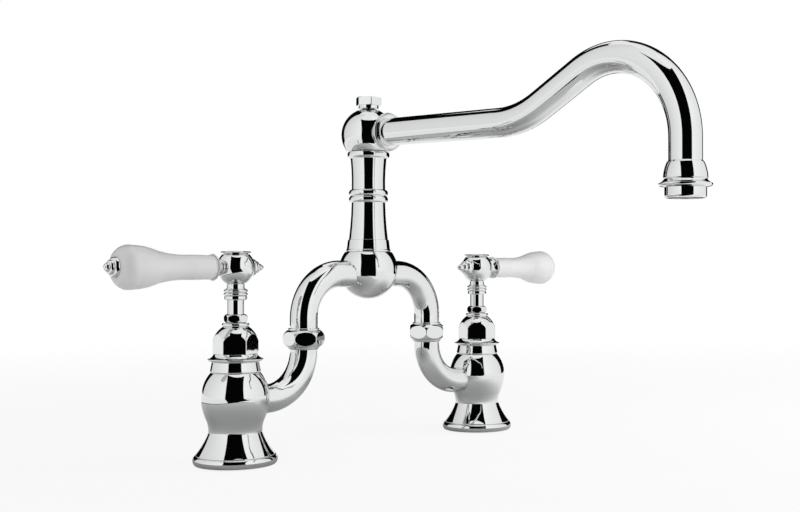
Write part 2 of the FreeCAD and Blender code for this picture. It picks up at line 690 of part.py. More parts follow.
def stem_collar():
    bore = SPINDLE_RADIUS + FITTED_CLEARANCE
    beads_base = STEM_COLLAR_BASE + STEM_COLLAR_FOOT_HEIGHT
    pitch = (HUB_BASE - beads_base) / STEM_BEAD_COUNT
    foot_round = STEM_COLLAR_BASE + STEM_COLLAR_FOOT_ROUND
    outline = (
        Outline(bore, STEM_COLLAR_BASE)
        .line(STEM_COLLAR_FOOT_RADIUS - STEM_COLLAR_FOOT_ROUND, STEM_COLLAR_BASE)
        .arc(STEM_COLLAR_FOOT_RADIUS, foot_round, STEM_COLLAR_FOOT_BOW)
        .line(STEM_COLLAR_FOOT_RADIUS, beads_base)
        .line(STEM_BEAD_GROOVE_RADIUS, beads_base)
    )
    for bead in range(1, STEM_BEAD_COUNT + 1):
        bow = STEM_BEAD_RADIUS - STEM_BEAD_GROOVE_RADIUS
        outline.arc(STEM_BEAD_GROOVE_RADIUS, beads_base + pitch * bead, bow)
    return outline.line(bore, HUB_BASE).turned()


# --- Handle -----------------------------------------------------------------------------------------
def handle_hub():
    ball = Part.makeSphere(HUB_RADIUS, UP * LEVER_AXIS_HEIGHT)
    base_top = HUB_BASE + HUB_NECK_BASE_HEIGHT
    neck_top = HUB_BASE + HUB_NECK_TOP_HEIGHT
    neck = (
        Outline(0, HUB_BASE)
        .line(HUB_NECK_BASE_RADIUS, HUB_BASE)
        .line(HUB_NECK_BASE_RADIUS, base_top)
        .line(HUB_NECK_RADIUS, base_top)
        .line(HUB_NECK_RADIUS, HUB_BASE + HUB_NECK_HEIGHT)
        .arc(HUB_NECK_TOP_RADIUS, neck_top, HUB_NECK_BOW)
        .line(0, neck_top)
        .turned()
    )
    cuts = [
        disc(SPLINE_RADIUS + FITTED_CLEARANCE, HUB_BASE, SPLINE_TOP),
        disc(SCREW_SHANK_RADIUS + LOOSE_CLEARANCE, SPLINE_TOP, HUB_RECESS_FLOOR),
        disc(HUB_RECESS_RADIUS, HUB_RECESS_FLOOR, HUB_CROWN),
        disc(HUB_RADIUS, HUB_CROWN, LEVER_AXIS_HEIGHT + HUB_RADIUS),
    ]
    for direction in (ALONG_LEVER, ALONG_LEVER * -1):
        flat = disc(HUB_RADIUS, HUB_FLAT_OFFSET, HUB_RADIUS)
        socket = disc(STUD_RADIUS + FITTED_CLEARANCE, HUB_SOCKET_INNER, HUB_FLAT_OFFSET)
        cuts.append(laid(flat, direction, LEVER_AXIS_HEIGHT))
        cuts.append(laid(socket, direction, LEVER_AXIS_HEIGHT))
    return less(ball.fuse(neck).removeSplitter(), cuts)


def handle_cap():
    top = HUB_CROWN + CAP_THICKNESS
    plug_radius = HUB_RECESS_RADIUS - FITTED_CLEARANCE
    return (
        Outline(0, HUB_CROWN - CAP_PLUG_HEIGHT)
        .line(plug_radius, HUB_CROWN - CAP_PLUG_HEIGHT)
        .line(plug_radius, HUB_CROWN)
        .line(CAP_RADIUS - CAP_EDGE, HUB_CROWN)
        .line(CAP_RADIUS, HUB_CROWN + CAP_EDGE)
        .line(CAP_DOME_RADIUS, top - CAP_DOME_RISE)
        .dome(top)
        .turned()
    )


def handle_screw():
    head_top = HUB_RECESS_FLOOR + SCREW_HEAD_HEIGHT
    shank_radius = SCREW_SHANK_RADIUS - FITTED_CLEARANCE
    shank = disc(shank_radius, HUB_RECESS_FLOOR - SCREW_SHANK_LENGTH, HUB_RECESS_FLOOR)
    head = disc(SCREW_HEAD_RADIUS, HUB_RECESS_FLOOR, head_top)
    key = hexagon(SCREW_KEY_RADIUS, head_top - SCREW_KEY_DEPTH, head_top, 0)
    return head.fuse(shank).cut(key)


def lever_ferrule():
    bore = ROD_RADIUS + FITTED_CLEARANCE
    ring_end = HUB_FLAT_OFFSET + FERRULE_RING_LENGTH
    cup_radius = GRIP_ROOT_RADIUS + LOOSE_CLEARANCE
    outline = (
        Outline(bore, HUB_FLAT_OFFSET)
        .line(FERRULE_THROAT_RADIUS, HUB_FLAT_OFFSET)
        .arc(FERRULE_THROAT_RADIUS, ring_end, FERRULE_RING_RADIUS - FERRULE_THROAT_RADIUS)
        .arc(FERRULE_RIM_RADIUS, FERRULE_END - FERRULE_RIM_LENGTH, -FERRULE_FLARE_BOW)
        .arc(FERRULE_RIM_RADIUS, FERRULE_END, FERRULE_RIM_BOW)
        .line(cup_radius, FERRULE_END)
        .line(cup_radius, GRIP_START)
        .line(bore, GRIP_START)
    )
    return laid(outline.turned(), ALONG_LEVER, LEVER_AXIS_HEIGHT)


def lever_grip():
    outline = (
        Outline(GRIP_BORE, GRIP_START)
        .line(GRIP_ROOT_RADIUS, GRIP_START)
        .line(GRIP_ROOT_RADIUS, FERRULE_END)
        .line(GRIP_NECK_RADIUS, GRIP_NECK_DISTANCE)
        .arc(GRIP_SWELL_RADIUS, GRIP_SWELL_DISTANCE, -GRIP_SWELL_BOW)
        .arc(GRIP_BULGE_RADIUS, GRIP_BULGE_DISTANCE, GRIP_BULGE_BOW)
        .arc(GRIP_END_RADIUS, GRIP_END_DISTANCE, GRIP_END_BOW)
        .line(GRIP_BORE, GRIP_END_DISTANCE)
    )
    return laid(outline.turned(), ALONG_LEVER, LEVER_AXIS_HEIGHT)


def lever_rod():
    rod = disc(ROD_RADIUS, HUB_SOCKET_INNER, GRIP_END_DISTANCE + END_FINIAL_THREAD)
    return laid(rod, ALONG_LEVER, LEVER_AXIS_HEIGHT)


def stepped_cone(outline, base, steps):
    """Add turned steps; each has the radius at its foot, the radius at its end and its length."""
    height = base
    for foot_radius, end_radius, length in steps:
        outline.line(foot_radius, height)
        height += length
        outline.arc(end_radius, height, FINIAL_STEP_BOW)
    return outline.dome(height + FINIAL_TIP)


def lever_end_finial():
    thread = ROD_RADIUS + FITTED_CLEARANCE
    thread_end = GRIP_END_DISTANCE + END_FINIAL_THREAD + LOOSE_CLEARANCE
    outline = Outline(thread, GRIP_END_DISTANCE)
    stepped_cone(outline, GRIP_END_DISTANCE, END_FINIAL_STEPS)
    outline.line(0, thread_end).line(thread, thread_end)
    return laid(outline.turned(), ALONG_LEVER, LEVER_AXIS_HEIGHT)


def hub_finial():
    outline = Outline(0, HUB_SOCKET_INNER)
    outline.line(STUD_RADIUS, HUB_SOCKET_INNER).line(STUD_RADIUS, HUB_FLAT_OFFSET)
    stepped_cone(outline, HUB_FLAT_OFFSET, HUB_FINIAL_STEPS)
    return laid(outline.turned(), ALONG_LEVER * -1, LEVER_AXIS_HEIGHT)


# --- Bridge arms --------------------------------------------------------------------------------------
def elbow(start, corner, end):
    """Tube with two straight runs joined by a tangent quarter turn at the corner."""
    into = (corner - start).normalize()
    out = (end - corner).normalize()
    first = corner - into * ELBOW_RADIUS
    last = corner + out * ELBOW_RADIUS
    centre = first + out * ELBOW_RADIUS
    middle = centre + (corner - centre).normalize() * ELBOW_RADIUS
    edges = [
        Part.LineSegment(start, first).toShape(),
        Part.Arc(first, middle, last).toShape(),
        Part.LineSegment(last, end).toShape(),
    ]
    return tube_along(edges, ARM_TUBE_RADIUS, ARM_BORE_RADIUS, start, into)


def at_union(shape):
    moved = shape.copy()
    moved.translate(FreeCAD.Vector(UNION_OFFSET, 0, UNION_HEIGHT))
    return moved


def lower_elbow():
    socket_end = INLET_CENTRES / 2 - BULB_RADIUS + SOCKET_DEPTH
    start = FreeCAD.Vector(socket_end, 0, PORT_AXIS_HEIGHT)
    corner = FreeCAD.Vector(UNION_OFFSET, 0, PORT_AXIS_HEIGHT)
    end = FreeCAD.Vector(UNION_OFFSET, 0, UNION_HEIGHT)
    collar_base = -UNION_HALF_HEIGHT - UNION_COLLAR_HEIGHT
    rim = (
        Outline(ARM_BORE_RADIUS, collar_base)
        .line(ARM_TUBE_RADIUS, collar_base)
        .arc(UNION_COLLAR_RADIUS, -UNION_HALF_HEIGHT, UNION_EDGE_BOW)
        .line(UNION_THREAD_RADIUS, -UNION_HALF_HEIGHT)
        .line(UNION_THREAD_RADIUS, 0)
        .line(ARM_BORE_RADIUS, 0)
        .turned()
    )
    return elbow(start, corner, end).fuse(at_union(rim)).removeSplitter()


def union_seal():
    return at_union(ring(ARM_BORE_RADIUS, UNION_FLANGE_RADIUS, 0, UNION_SEAL_THICKNESS))


def upper_elbow():
    start = FreeCAD.Vector(UNION_OFFSET, 0, UNION_HEIGHT + UNION_SEAL_THICKNESS)
    corner = FreeCAD.Vector(UNION_OFFSET, 0, BRIDGE_AXIS_HEIGHT)
    end = FreeCAD.Vector(BALL_SOCKET_INNER, 0, BRIDGE_AXIS_HEIGHT)
    flange_top = UNION_SEAL_THICKNESS + UNION_FLANGE_HEIGHT
    flange = ring(ARM_BORE_RADIUS, UNION_FLANGE_RADIUS, UNION_SEAL_THICKNESS, flange_top)
    return elbow(start, corner, end).fuse(at_union(flange)).removeSplitter()


def union_nut(turn):
    half = UNION_HALF_HEIGHT
    barrel = barrel_nut(UNION_CORNER_RADIUS, UNION_BARREL_RADIUS, -half, half, turn)
    neck_top = half + UNION_NECK_HEIGHT
    neck = (
        Outline(0, half)
        .line(UNION_NECK_RADIUS, half)
        .arc(UNION_NECK_RADIUS - UNION_NECK_LIP, neck_top, UNION_EDGE_BOW)
        .line(0, neck_top)
        .turned()
    )
    shoulder = UNION_SEAL_THICKNESS + UNION_FLANGE_HEIGHT
    nut = less(barrel.fuse(neck), [
        disc(UNION_THREAD_RADIUS + FITTED_CLEARANCE, -half, shoulder),
        disc(ARM_TUBE_RADIUS + FITTED_CLEARANCE, shoulder, neck_top),
    ])
    return at_union(nut.removeSplitter())


# --- Pillar -------------------------------------------------------------------------------------------
def bridge_ball():
    ball = Part.makeSphere(BALL_RADIUS, UP * BALL_CENTRE)
    spigot_floor = PILLAR_BASE - PILLAR_SPIGOT_LENGTH
    cuts = [
        disc(BALL_RADIUS, BALL_TOP, BALL_CENTRE + BALL_RADIUS),
        disc(BALL_BORE, BRIDGE_AXIS_HEIGHT, BALL_TOP),
        disc(PILLAR_SPIGOT_RADIUS + FITTED_CLEARANCE, spigot_floor, BALL_TOP),
    ]
    for direction in (TOWARDS_BRIDGE, TOWARDS_BRIDGE * -1):
        passage = disc(ARM_BORE_RADIUS, 0, BALL_SOCKET_INNER)
        socket = disc(ARM_TUBE_RADIUS + FITTED_CLEARANCE, BALL_SOCKET_INNER, BALL_RADIUS)
        cuts.append(laid(passage, direction, BRIDGE_AXIS_HEIGHT))
        cuts.append(laid(socket, direction, BRIDGE_AXIS_HEIGHT))
    return less(ball, cuts)


def pillar_collar():
    bore = PILLAR_SPIGOT_RADIUS + FITTED_CLEARANCE
    lip_top = BALL_TOP + PILLAR_COLLAR_LIP_HEIGHT
    return (
        Outline(bore, BALL_TOP)
        .line(PILLAR_COLLAR_BASE_RADIUS, BALL_TOP)
        .arc(PILLAR_COLLAR_BASE_RADIUS, lip_top, PILLAR_COLLAR_LIP_BOW)
        .line(PILLAR_COLLAR_TOP_RADIUS, PILLAR_BASE)
        .line(bore, PILLAR_BASE)
        .turned()
    )


def pillar():
    bead_base = PILLAR_BASE + PILLAR_BEAD_BASE
    bead_top = bead_base + PILLAR_BEAD_PITCH * PILLAR_BEAD_COUNT
    post_bore = POST_SPIGOT_RADIUS + FITTED_CLEARANCE
    post_floor = PILLAR_TOP - POST_SPIGOT_LENGTH
    spigot_floor = PILLAR_BASE - PILLAR_SPIGOT_LENGTH
    outline = (
        Outline(PILLAR_BORE, spigot_floor)
        .line(PILLAR_SPIGOT_RADIUS, spigot_floor)
        .line(PILLAR_SPIGOT_RADIUS, PILLAR_BASE)
        .line(PILLAR_BASE_RADIUS, PILLAR_BASE)
        .arc(PILLAR_WAIST_RADIUS, bead_base, -PILLAR_TAPER_BOW)
        .line(PILLAR_BEAD_GROOVE_RADIUS, bead_base)
    )
    for bead in range(1, PILLAR_BEAD_COUNT + 1):
        top = bead_base + PILLAR_BEAD_PITCH * bead
        outline.arc(PILLAR_BEAD_GROOVE_RADIUS, top, PILLAR_BEAD_BOW)
    outline.line(PILLAR_WAIST_RADIUS, bead_top)
    outline.arc(PILLAR_TOP_RADIUS, PILLAR_TOP - PILLAR_COVE_HEIGHT, -PILLAR_TAPER_BOW)
    outline.arc(PILLAR_COVE_RADIUS, PILLAR_TOP, -PILLAR_COVE_BOW)
    outline.line(post_bore, PILLAR_TOP)
    outline.line(post_bore, post_floor)
    outline.line(PILLAR_BORE, post_floor)
    return outline.turned()


def swivel_ring():
    bore = POST_SPIGOT_RADIUS + FITTED_CLEARANCE
    middle = (PILLAR_TOP + SWIVEL_TOP) / 2
    inner = SWIVEL_RING_RADIUS - SWIVEL_RING_EDGE
    return (
        Outline(bore, PILLAR_TOP)
        .line(inner, PILLAR_TOP)
        .arc(SWIVEL_RING_RADIUS, middle, SWIVEL_RING_BOW)
        .arc(inner, SWIVEL_TOP, SWIVEL_RING_BOW)
        .line(bore, SWIVEL_TOP)
        .turned()
    )


def post_seal_heights():
    return [SPOUT_AXIS_HEIGHT - POST_LOWER_SEAL_DROP, SPOUT_AXIS_HEIGHT + POST_UPPER_SEAL_RISE]


def swivel_post():
    post_foot = PILLAR_TOP - POST_SPIGOT_LENGTH
    post = disc(POST_SPIGOT_RADIUS, post_foot, SWIVEL_TOP).fuse(disc(POST_RADIUS, SWIVEL_TOP, POST_TOP))
    cuts = seal_grooves(POST_SEAL_GROOVE_RADIUS, POST_RADIUS, post_seal_heights())
    cuts.append(disc(POST_BORE, post_foot, POST_TOP - POST_HEAD_HEIGHT))
    cuts.append(disc(FINIAL_SHANK_RADIUS, POST_TOP - FINIAL_THREAD_LENGTH, POST_TOP))
    for direction in (TOWARDS_BRIDGE, ALONG_SPOUT):
        window = disc(POST_WINDOW_RADIUS, -POST_RADIUS, POST_RADIUS)
        cuts.append(laid(window, direction, SPOUT_AXIS_HEIGHT))
    return less(post, cuts)


def swivel_seals():
    return o_rings(POST_SEAL_GROOVE_RADIUS, POST_SEAL_CORD_RADIUS, post_seal_heights())


def finial_screw():
    hex_base = FINIAL_SEAT + FINIAL_NECK_HEIGHT
    hex_top = hex_base + FINIAL_HEX_HEIGHT
    chamfer = (
        Outline(0, hex_base)
        .line(FINIAL_HEX_CORNER - FINIAL_EDGE, hex_base)
        .line(FINIAL_HEX_CORNER, hex_base + FINIAL_EDGE)
        .line(FINIAL_HEX_CORNER, hex_top - FINIAL_EDGE)
        .line(FINIAL_HEX_CORNER - 2 * FINIAL_EDGE, hex_top)
        .line(0, hex_top)
        .turned()
    )
    head = hexagon(FINIAL_HEX_CORNER, hex_base, hex_top, FINIAL_TURN).common(chamfer)
    neck = disc(FINIAL_NECK_RADIUS, FINIAL_SEAT, hex_base)
    shank_base = POST_TOP - FINIAL_THREAD_LENGTH + LOOSE_CLEARANCE
    shank = disc(FINIAL_SHANK_RADIUS - FITTED_CLEARANCE, shank_base, FINIAL_SEAT)
    return head.fuse([neck, shank]).removeSplitter()


# --- Spout --------------------------------------------------------------------------------------------
def spout_hub():
    hub = Part.makeSphere(SPOUT_HUB_RADIUS, UP * SPOUT_AXIS_HEIGHT)
    hub_base = SWIVEL_TOP + TURNING_GAP
    ball_base = SPOUT_AXIS_HEIGHT - SPOUT_HUB_RADIUS
    ball_top = SPOUT_AXIS_HEIGHT + SPOUT_HUB_RADIUS
    bush_top = SWIVEL_TOP + LAPPED_GAP + BUSH_HEIGHT
    seat = disc(SPOUT_HUB_RADIUS, SPOUT_COLLAR_SEAT, 2 * SPOUT_HUB_RADIUS)
    socket = disc(SPOUT_TUBE_RADIUS + FITTED_CLEARANCE, SPOUT_TUBE_START, SPOUT_COLLAR_SEAT)
    passage = disc(SPOUT_BORE_RADIUS, 0, SPOUT_TUBE_START)
    return less(hub, [
        disc(SPOUT_HUB_RADIUS, ball_base, hub_base),
        disc(SPOUT_HUB_RADIUS, SPOUT_HUB_CROWN, ball_top),
        disc(BUSH_OUTER_RADIUS + FITTED_CLEARANCE, hub_base, bush_top),
        disc(POST_RADIUS + RUNNING_CLEARANCE, hub_base, HUB_SHOULDER),
        disc(FINIAL_SHANK_RADIUS + LOOSE_CLEARANCE, HUB_SHOULDER, SPOUT_HUB_CROWN),
        laid(seat, ALONG_RUN, SPOUT_RUN_HEIGHT),
        laid(socket, ALONG_RUN, SPOUT_RUN_HEIGHT),
        laid(passage, ALONG_RUN, SPOUT_RUN_HEIGHT),
    ])


def swivel_bush():
    base = SWIVEL_TOP + LAPPED_GAP
    return ring(POST_RADIUS + RUNNING_CLEARANCE, BUSH_OUTER_RADIUS, base, base + BUSH_HEIGHT)


def spout_collar():
    bore = SPOUT_TUBE_RADIUS + FITTED_CLEARANCE
    rim_end = SPOUT_COLLAR_SEAT + SPOUT_COLLAR_LENGTH
    rim_start = rim_end - SPOUT_COLLAR_RIM_LENGTH
    face_radius = SPOUT_COLLAR_RIM_RADIUS - SPOUT_COLLAR_RIM_BOW
    outline = (
        Outline(bore, SPOUT_COLLAR_SEAT)
        .line(SPOUT_COLLAR_BASE_RADIUS, SPOUT_COLLAR_SEAT)
        .arc(SPOUT_COLLAR_RIM_RADIUS, rim_start, -SPOUT_COLLAR_FLARE_BOW)
        .arc(face_radius, rim_end, SPOUT_COLLAR_RIM_BOW)
        .arc(bore, rim_end - SPOUT_COLLAR_FACE_DEPTH, -SPOUT_COLLAR_FACE_BOW)
    )
    return laid(outline.turned(), ALONG_RUN, SPOUT_RUN_HEIGHT)


def spout_point(distance, height):
    return ALONG_SPOUT * distance + UP * height


def spout_edges():
    """Run from the hub, a bend up to the slope, the slope, a crook over the top, a drop."""
    droop = math.radians(SPOUT_DROOP)
    slope = math.radians(SPOUT_SLOPE)
    quarter = math.pi / 2
    vertex_height = SPOUT_RUN_HEIGHT - SPOUT_BEND_DISTANCE * math.tan(droop)
    tangent = SPOUT_BEND_RADIUS * math.tan((slope + droop) / 2)
    bend_start = SPOUT_BEND_DISTANCE - tangent * math.cos(droop)
    bend_distance = bend_start + SPOUT_BEND_RADIUS * math.sin(droop)
    bend_height = vertex_height + tangent * math.sin(droop) + SPOUT_BEND_RADIUS * math.cos(droop)
    crook_distance = SPOUT_REACH - SPOUT_ARC_RADIUS
    rise = (crook_distance - SPOUT_BEND_DISTANCE) * math.sin(slope)
    crook_height = vertex_height + (rise - SPOUT_ARC_RADIUS) / math.cos(slope)

    def on_bend(heading):
        reach = bend_distance + SPOUT_BEND_RADIUS * math.sin(heading)
        return spout_point(reach, bend_height - SPOUT_BEND_RADIUS * math.cos(heading))

    def on_crook(heading):
        reach = crook_distance - SPOUT_ARC_RADIUS * math.sin(heading)
        return spout_point(reach, crook_height + SPOUT_ARC_RADIUS * math.cos(heading))

    mouth = spout_point(SPOUT_REACH, SPOUT_TUBE_END)
    return [
        Part.LineSegment(spout_root(), on_bend(-droop)).toShape(),
        Part.Arc(on_bend(-droop), on_bend((slope - droop) / 2), on_bend(slope)).toShape(),
        Part.LineSegment(on_bend(slope), on_crook(slope)).toShape(),
        Part.Arc(on_crook(slope), on_crook((slope - quarter) / 2), on_crook(-quarter)).toShape(),
        Part.LineSegment(on_crook(-quarter), mouth).toShape(),
    ]


def spout_root():
    return ALONG_RUN * SPOUT_TUBE_START + UP * SPOUT_RUN_HEIGHT


def bush_space():
    top = SWIVEL_TOP + LAPPED_GAP + BUSH_HEIGHT + FITTED_CLEARANCE
    return disc(BUSH_OUTER_RADIUS + FITTED_CLEARANCE, SWIVEL_TOP, top)


def spout_tube():
    tube = tube_along(
        spout_edges(), SPOUT_TUBE_RADIUS, SPOUT_BORE_RADIUS, spout_root(), ALONG_RUN
    )
    return tube.cut(bush_space())


def at_outlet(shape):
    moved = shape.copy()
    moved.translate(spout_point(SPOUT_REACH, 0))
    return moved


def outlet_bell():
    bore = SPOUT_TUBE_RADIUS + FITTED_CLEARANCE
    thread = BELL_THREAD_RADIUS + FITTED_CLEARANCE
    shell = (
        Outline(bore, BELL_TOP)
        .line(BELL_TOP_RADIUS, BELL_TOP)
        .line(BELL_SHOULDER_RADIUS, BELL_TOP - BELL_SHOULDER_DROP)
        .arc(BELL_BODY_RADIUS, BELL_STEP_HEIGHT + BELL_STEP, -BELL_BODY_BOW)
        .line(BELL_BODY_RADIUS - BELL_STEP, BELL_STEP_HEIGHT)
        .arc(BELL_LIP_RADIUS, BELL_LIP_TOP, BELL_FLARE_BOW)
        .arc(BELL_LIP_UNDER_RADIUS, BELL_LIP_UNDER, -BELL_LIP_BOW)
        .line(AERATOR_RADIUS, BELL_BOTTOM)
        .line(thread, BELL_BOTTOM)
        .line(thread, BELL_SEAT_HEIGHT)
        .line(SPOUT_BORE_RADIUS, BELL_SEAT_HEIGHT)
        .line(SPOUT_BORE_RADIUS, SPOUT_TUBE_END)
        .line(bore, SPOUT_TUBE_END)
        .turned()
    )
    return at_outlet(shell)


def outlet_seal():
    low = BELL_SEAT_HEIGHT - OUTLET_SEAL_THICKNESS
    return at_outlet(ring(SPOUT_BORE_RADIUS, BELL_THREAD_RADIUS, low, BELL_SEAT_HEIGHT))


def aerator_shell():
    neck_top = BELL_SEAT_HEIGHT - OUTLET_SEAL_THICKNESS - INSERT_FLANGE_HEIGHT
    ledge = AERATOR_BOTTOM + AERATOR_LEDGE_HEIGHT
    shell = (
        Outline(AERATOR_MOUTH_RADIUS, AERATOR_BOTTOM)
        .line(AERATOR_RADIUS - AERATOR_EDGE, AERATOR_BOTTOM)
        .arc(AERATOR_RADIUS, AERATOR_BOTTOM + AERATOR_EDGE, AERATOR_EDGE_BOW)
        .line(AERATOR_RADIUS, BELL_BOTTOM)
        .line(AERATOR_NECK_RADIUS, BELL_BOTTOM)
        .line(AERATOR_NECK_RADIUS, neck_top)
        .line(AERATOR_BORE, neck_top)
        .line(AERATOR_BORE, ledge)
        .line(AERATOR_MOUTH_RADIUS, ledge)
        .turned()
    )
    return at_outlet(shell)


def aerator_insert():
    """Flow straightener: a flanged cup with a barred screen at its foot."""
    ledge = AERATOR_BOTTOM + AERATOR_LEDGE_HEIGHT
    flange_top = BELL_SEAT_HEIGHT - OUTLET_SEAL_THICKNESS
    flange_base = flange_top - INSERT_FLANGE_HEIGHT
    outer = AERATOR_BORE - FITTED_CLEARANCE
    inner = AERATOR_MOUTH_RADIUS - SCREEN_BAR_WIDTH / 2
    flange = ring(inner, AERATOR_NECK_RADIUS, flange_base, flange_top)
    pieces = [flange]
    bars_each_way = int(inner / SCREEN_PITCH)
    reach = outer - SCREEN_BAR_WIDTH / 2
    for step in range(-bars_each_way, bars_each_way + 1):
        offset = step * SCREEN_PITCH
        half = math.sqrt(reach ** 2 - offset ** 2)
        low = offset - SCREEN_BAR_WIDTH / 2
        along_y = FreeCAD.Vector(low, -half, ledge)
        along_x = FreeCAD.Vector(-half, low, ledge)
        pieces.append(Part.makeBox(SCREEN_BAR_WIDTH, 2 * half, SCREEN_THICKNESS, along_y))
        pieces.append(Part.makeBox(2 * half, SCREEN_BAR_WIDTH, SCREEN_THICKNESS, along_x))
    cup = ring(inner, outer, ledge, flange_top).fuse(pieces)
    envelope = disc(outer, ledge, flange_top).fuse(flange)
    return at_outlet(cup.common(envelope).removeSplitter())


# --- The whole faucet, node by node -------------------------------------------------------------------
def column_nodes(name, side, bonnet_turn, gland_turn):
    pieces = {
        "valve_body": valve_body(),
        "bonnet_nut": bonnet_nut(bonnet_turn),
        "gland_nut": gland_nut(gland_turn),
        "cartridge_housing": cartridge_housing(),
        "moving_disc": moving_disc(),
        "spindle": spindle(),
        "spindle_seals": spindle_seals(),
        "stem_collar": stem_collar(),
        "handle_hub": handle_hub(),
        "handle_cap": handle_cap(),
        "handle_screw": handle_screw(),
        "hub_finial": hub_finial(),
        "lever_ferrule": lever_ferrule(),
        "lever_grip": lever_grip(),
        "lever_rod": lever_rod(),
        "lever_end_finial": lever_end_finial(),
    }
    return {name + "_" + piece: on_inlet(shape, side) for piece, shape in pieces.items()}


def arm_nodes(name, side, union_turn):
    pieces = {
        "lower_elbow": lower_elbow(),
        "upper_elbow": upper_elbow(),
        "union_nut": union_nut(union_turn),
    }
    return {name + "_" + piece: on_arm(shape, side) for piece, shape in pieces.items()}


def paired_nodes():
    """Rings that are the same on both sides and lie in the fixed body, one node for each kind."""
    column_rings = {
        "base_gaskets": base_gasket(),
        "seat_seals": seat_seal(),
        "fixed_discs": fixed_disc(),
        "body_collars": body_collar(),
        "dish_washers": dish_washer(),
    }
    nodes = {}
    for name, shape in column_rings.items():
        nodes[name] = Part.makeCompound([on_inlet(shape, side) for _, side in SIDES])
    nodes["union_seals"] = Part.makeCompound([on_arm(union_seal(), side) for _, side in SIDES])
    return nodes


def centre_nodes():
    return {
        "bridge_ball": bridge_ball(),
        "pillar_collar": pillar_collar(),
        "pillar": pillar(),
        "swivel_ring": swivel_ring(),
        "swivel_post": swivel_post(),
        "swivel_seals": swivel_seals(),
        "finial_screw": finial_screw(),
    }


def spout_nodes():
    return {
        "spout_hub": spout_hub(),
        "swivel_bush": swivel_bush(),
        "spout_collar": spout_collar(),
        "spout_tube": spout_tube(),
        "outlet_bell": outlet_bell(),
        "outlet_seal": outlet_seal(),
        "aerator_shell": aerator_shell(),
        "aerator_insert": aerator_insert(),
    }


def main():
    os.makedirs("parts", exist_ok=True)
    nodes = {**paired_nodes(), **centre_nodes(), **spout_nodes()}
    nodes.update(column_nodes("left", LEFT, LEFT_BONNET_TURN, LEFT_GLAND_TURN))
    nodes.update(column_nodes("right", RIGHT, RIGHT_BONNET_TURN, RIGHT_GLAND_TURN))
    nodes.update(arm_nodes("left", LEFT, LEFT_UNION_TURN))
    nodes.update(arm_nodes("right", RIGHT, RIGHT_UNION_TURN))
    for name, shape in sorted(nodes.items()):
        shape.exportStep("parts/" + name + ".step")
        print(name, len(shape.Solids), "solids", round(shape.Volume), "mm3", shape.isValid())
    print(len(nodes), "nodes")


main()
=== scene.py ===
# %% [markdown]
# # A bridge kitchen faucet in polished chrome and porcelain
# The faucet is two valve columns, a raised bridge between them, and a long spout that swivels.
# Almost all of it is turned on a lathe or bent from tube, then plated and polished. So this
# lesson builds a lathe and a tube bender as Geometry Nodes first, and then feeds them drawings.
# The imported CAD model gives the frame. Sizes are written in millimetres, as on a drawing, and
# turned to metres when a mesh is made.

# %% Load the frame and keep its nodes and record
import bpy
import bmesh
import json
import math
import numpy as np
from mathutils import Matrix, Vector


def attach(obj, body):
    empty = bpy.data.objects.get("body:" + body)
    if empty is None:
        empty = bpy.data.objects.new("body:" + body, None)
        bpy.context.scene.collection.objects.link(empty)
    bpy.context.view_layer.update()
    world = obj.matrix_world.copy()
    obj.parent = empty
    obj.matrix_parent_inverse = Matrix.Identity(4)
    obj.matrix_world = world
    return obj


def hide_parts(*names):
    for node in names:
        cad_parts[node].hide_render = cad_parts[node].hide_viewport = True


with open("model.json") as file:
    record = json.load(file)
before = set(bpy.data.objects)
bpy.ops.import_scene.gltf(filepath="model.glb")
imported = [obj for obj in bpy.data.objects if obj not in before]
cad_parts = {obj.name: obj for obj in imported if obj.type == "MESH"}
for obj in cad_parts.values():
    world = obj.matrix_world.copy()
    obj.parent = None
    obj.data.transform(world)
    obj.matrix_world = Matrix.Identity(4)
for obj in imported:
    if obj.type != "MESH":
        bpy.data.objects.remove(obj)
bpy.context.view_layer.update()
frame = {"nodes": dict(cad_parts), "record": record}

nodes = frame["nodes"]
MM = 0.001
print("CAD nodes:", len(nodes))

# %% [markdown]
# ## Two small helpers
# Colours are written as the hex values that a paint chart gives, which are sRGB. Shaders
# work in linear light, so one function converts them. The other helper adds a node to any
# tree, shader or geometry, with its settings, its constants and its links.

# %% Colour and node helpers
def colour(hex_value):
    """Linear RGBA from an sRGB hex value such as D8DADC."""
    channels = [int(hex_value[i:i + 2], 16) / 255 for i in (0, 2, 4)]
    linear = [c / 12.92 if c <= 0.04045 else ((c + 0.055) / 1.055) ** 2.4 for c in channels]
    return (*linear, 1.0)


def add(tree, kind, links=None, values=None, **settings):
    """Add one node; links maps an input to a socket, and values maps it to a constant."""
    node = tree.nodes.new(kind)
    for name, setting in settings.items():
        setattr(node, name, setting)
    for key, value in (values or {}).items():
        node.inputs[key].default_value = value
    for key, socket in (links or {}).items():
        tree.links.new(socket, node.inputs[key])
    return node


def new_material(name):
    """An empty node material with its output, and the tree to fill."""
    material = bpy.data.materials.new(name)
    material.use_nodes = True
    material.node_tree.nodes.clear()
    return material, material.node_tree


print("mid grey in linear light:", round(colour("808080")[0], 3))

# %% [markdown]
# ## Polished chrome
# The castings are brass. They are ground, buffed, and plated with nickel and a very thin
# layer of chromium. The eye gets an almost perfect, faintly bluish mirror. What tells it
# from a drawing of a mirror is small: buffing leaves hairlines that blur the reflection a
# little in one place more than in the next, and the plate has a slight orange peel. Both come
# from noise in millimetres on Object coordinates, one on roughness and one on bump.

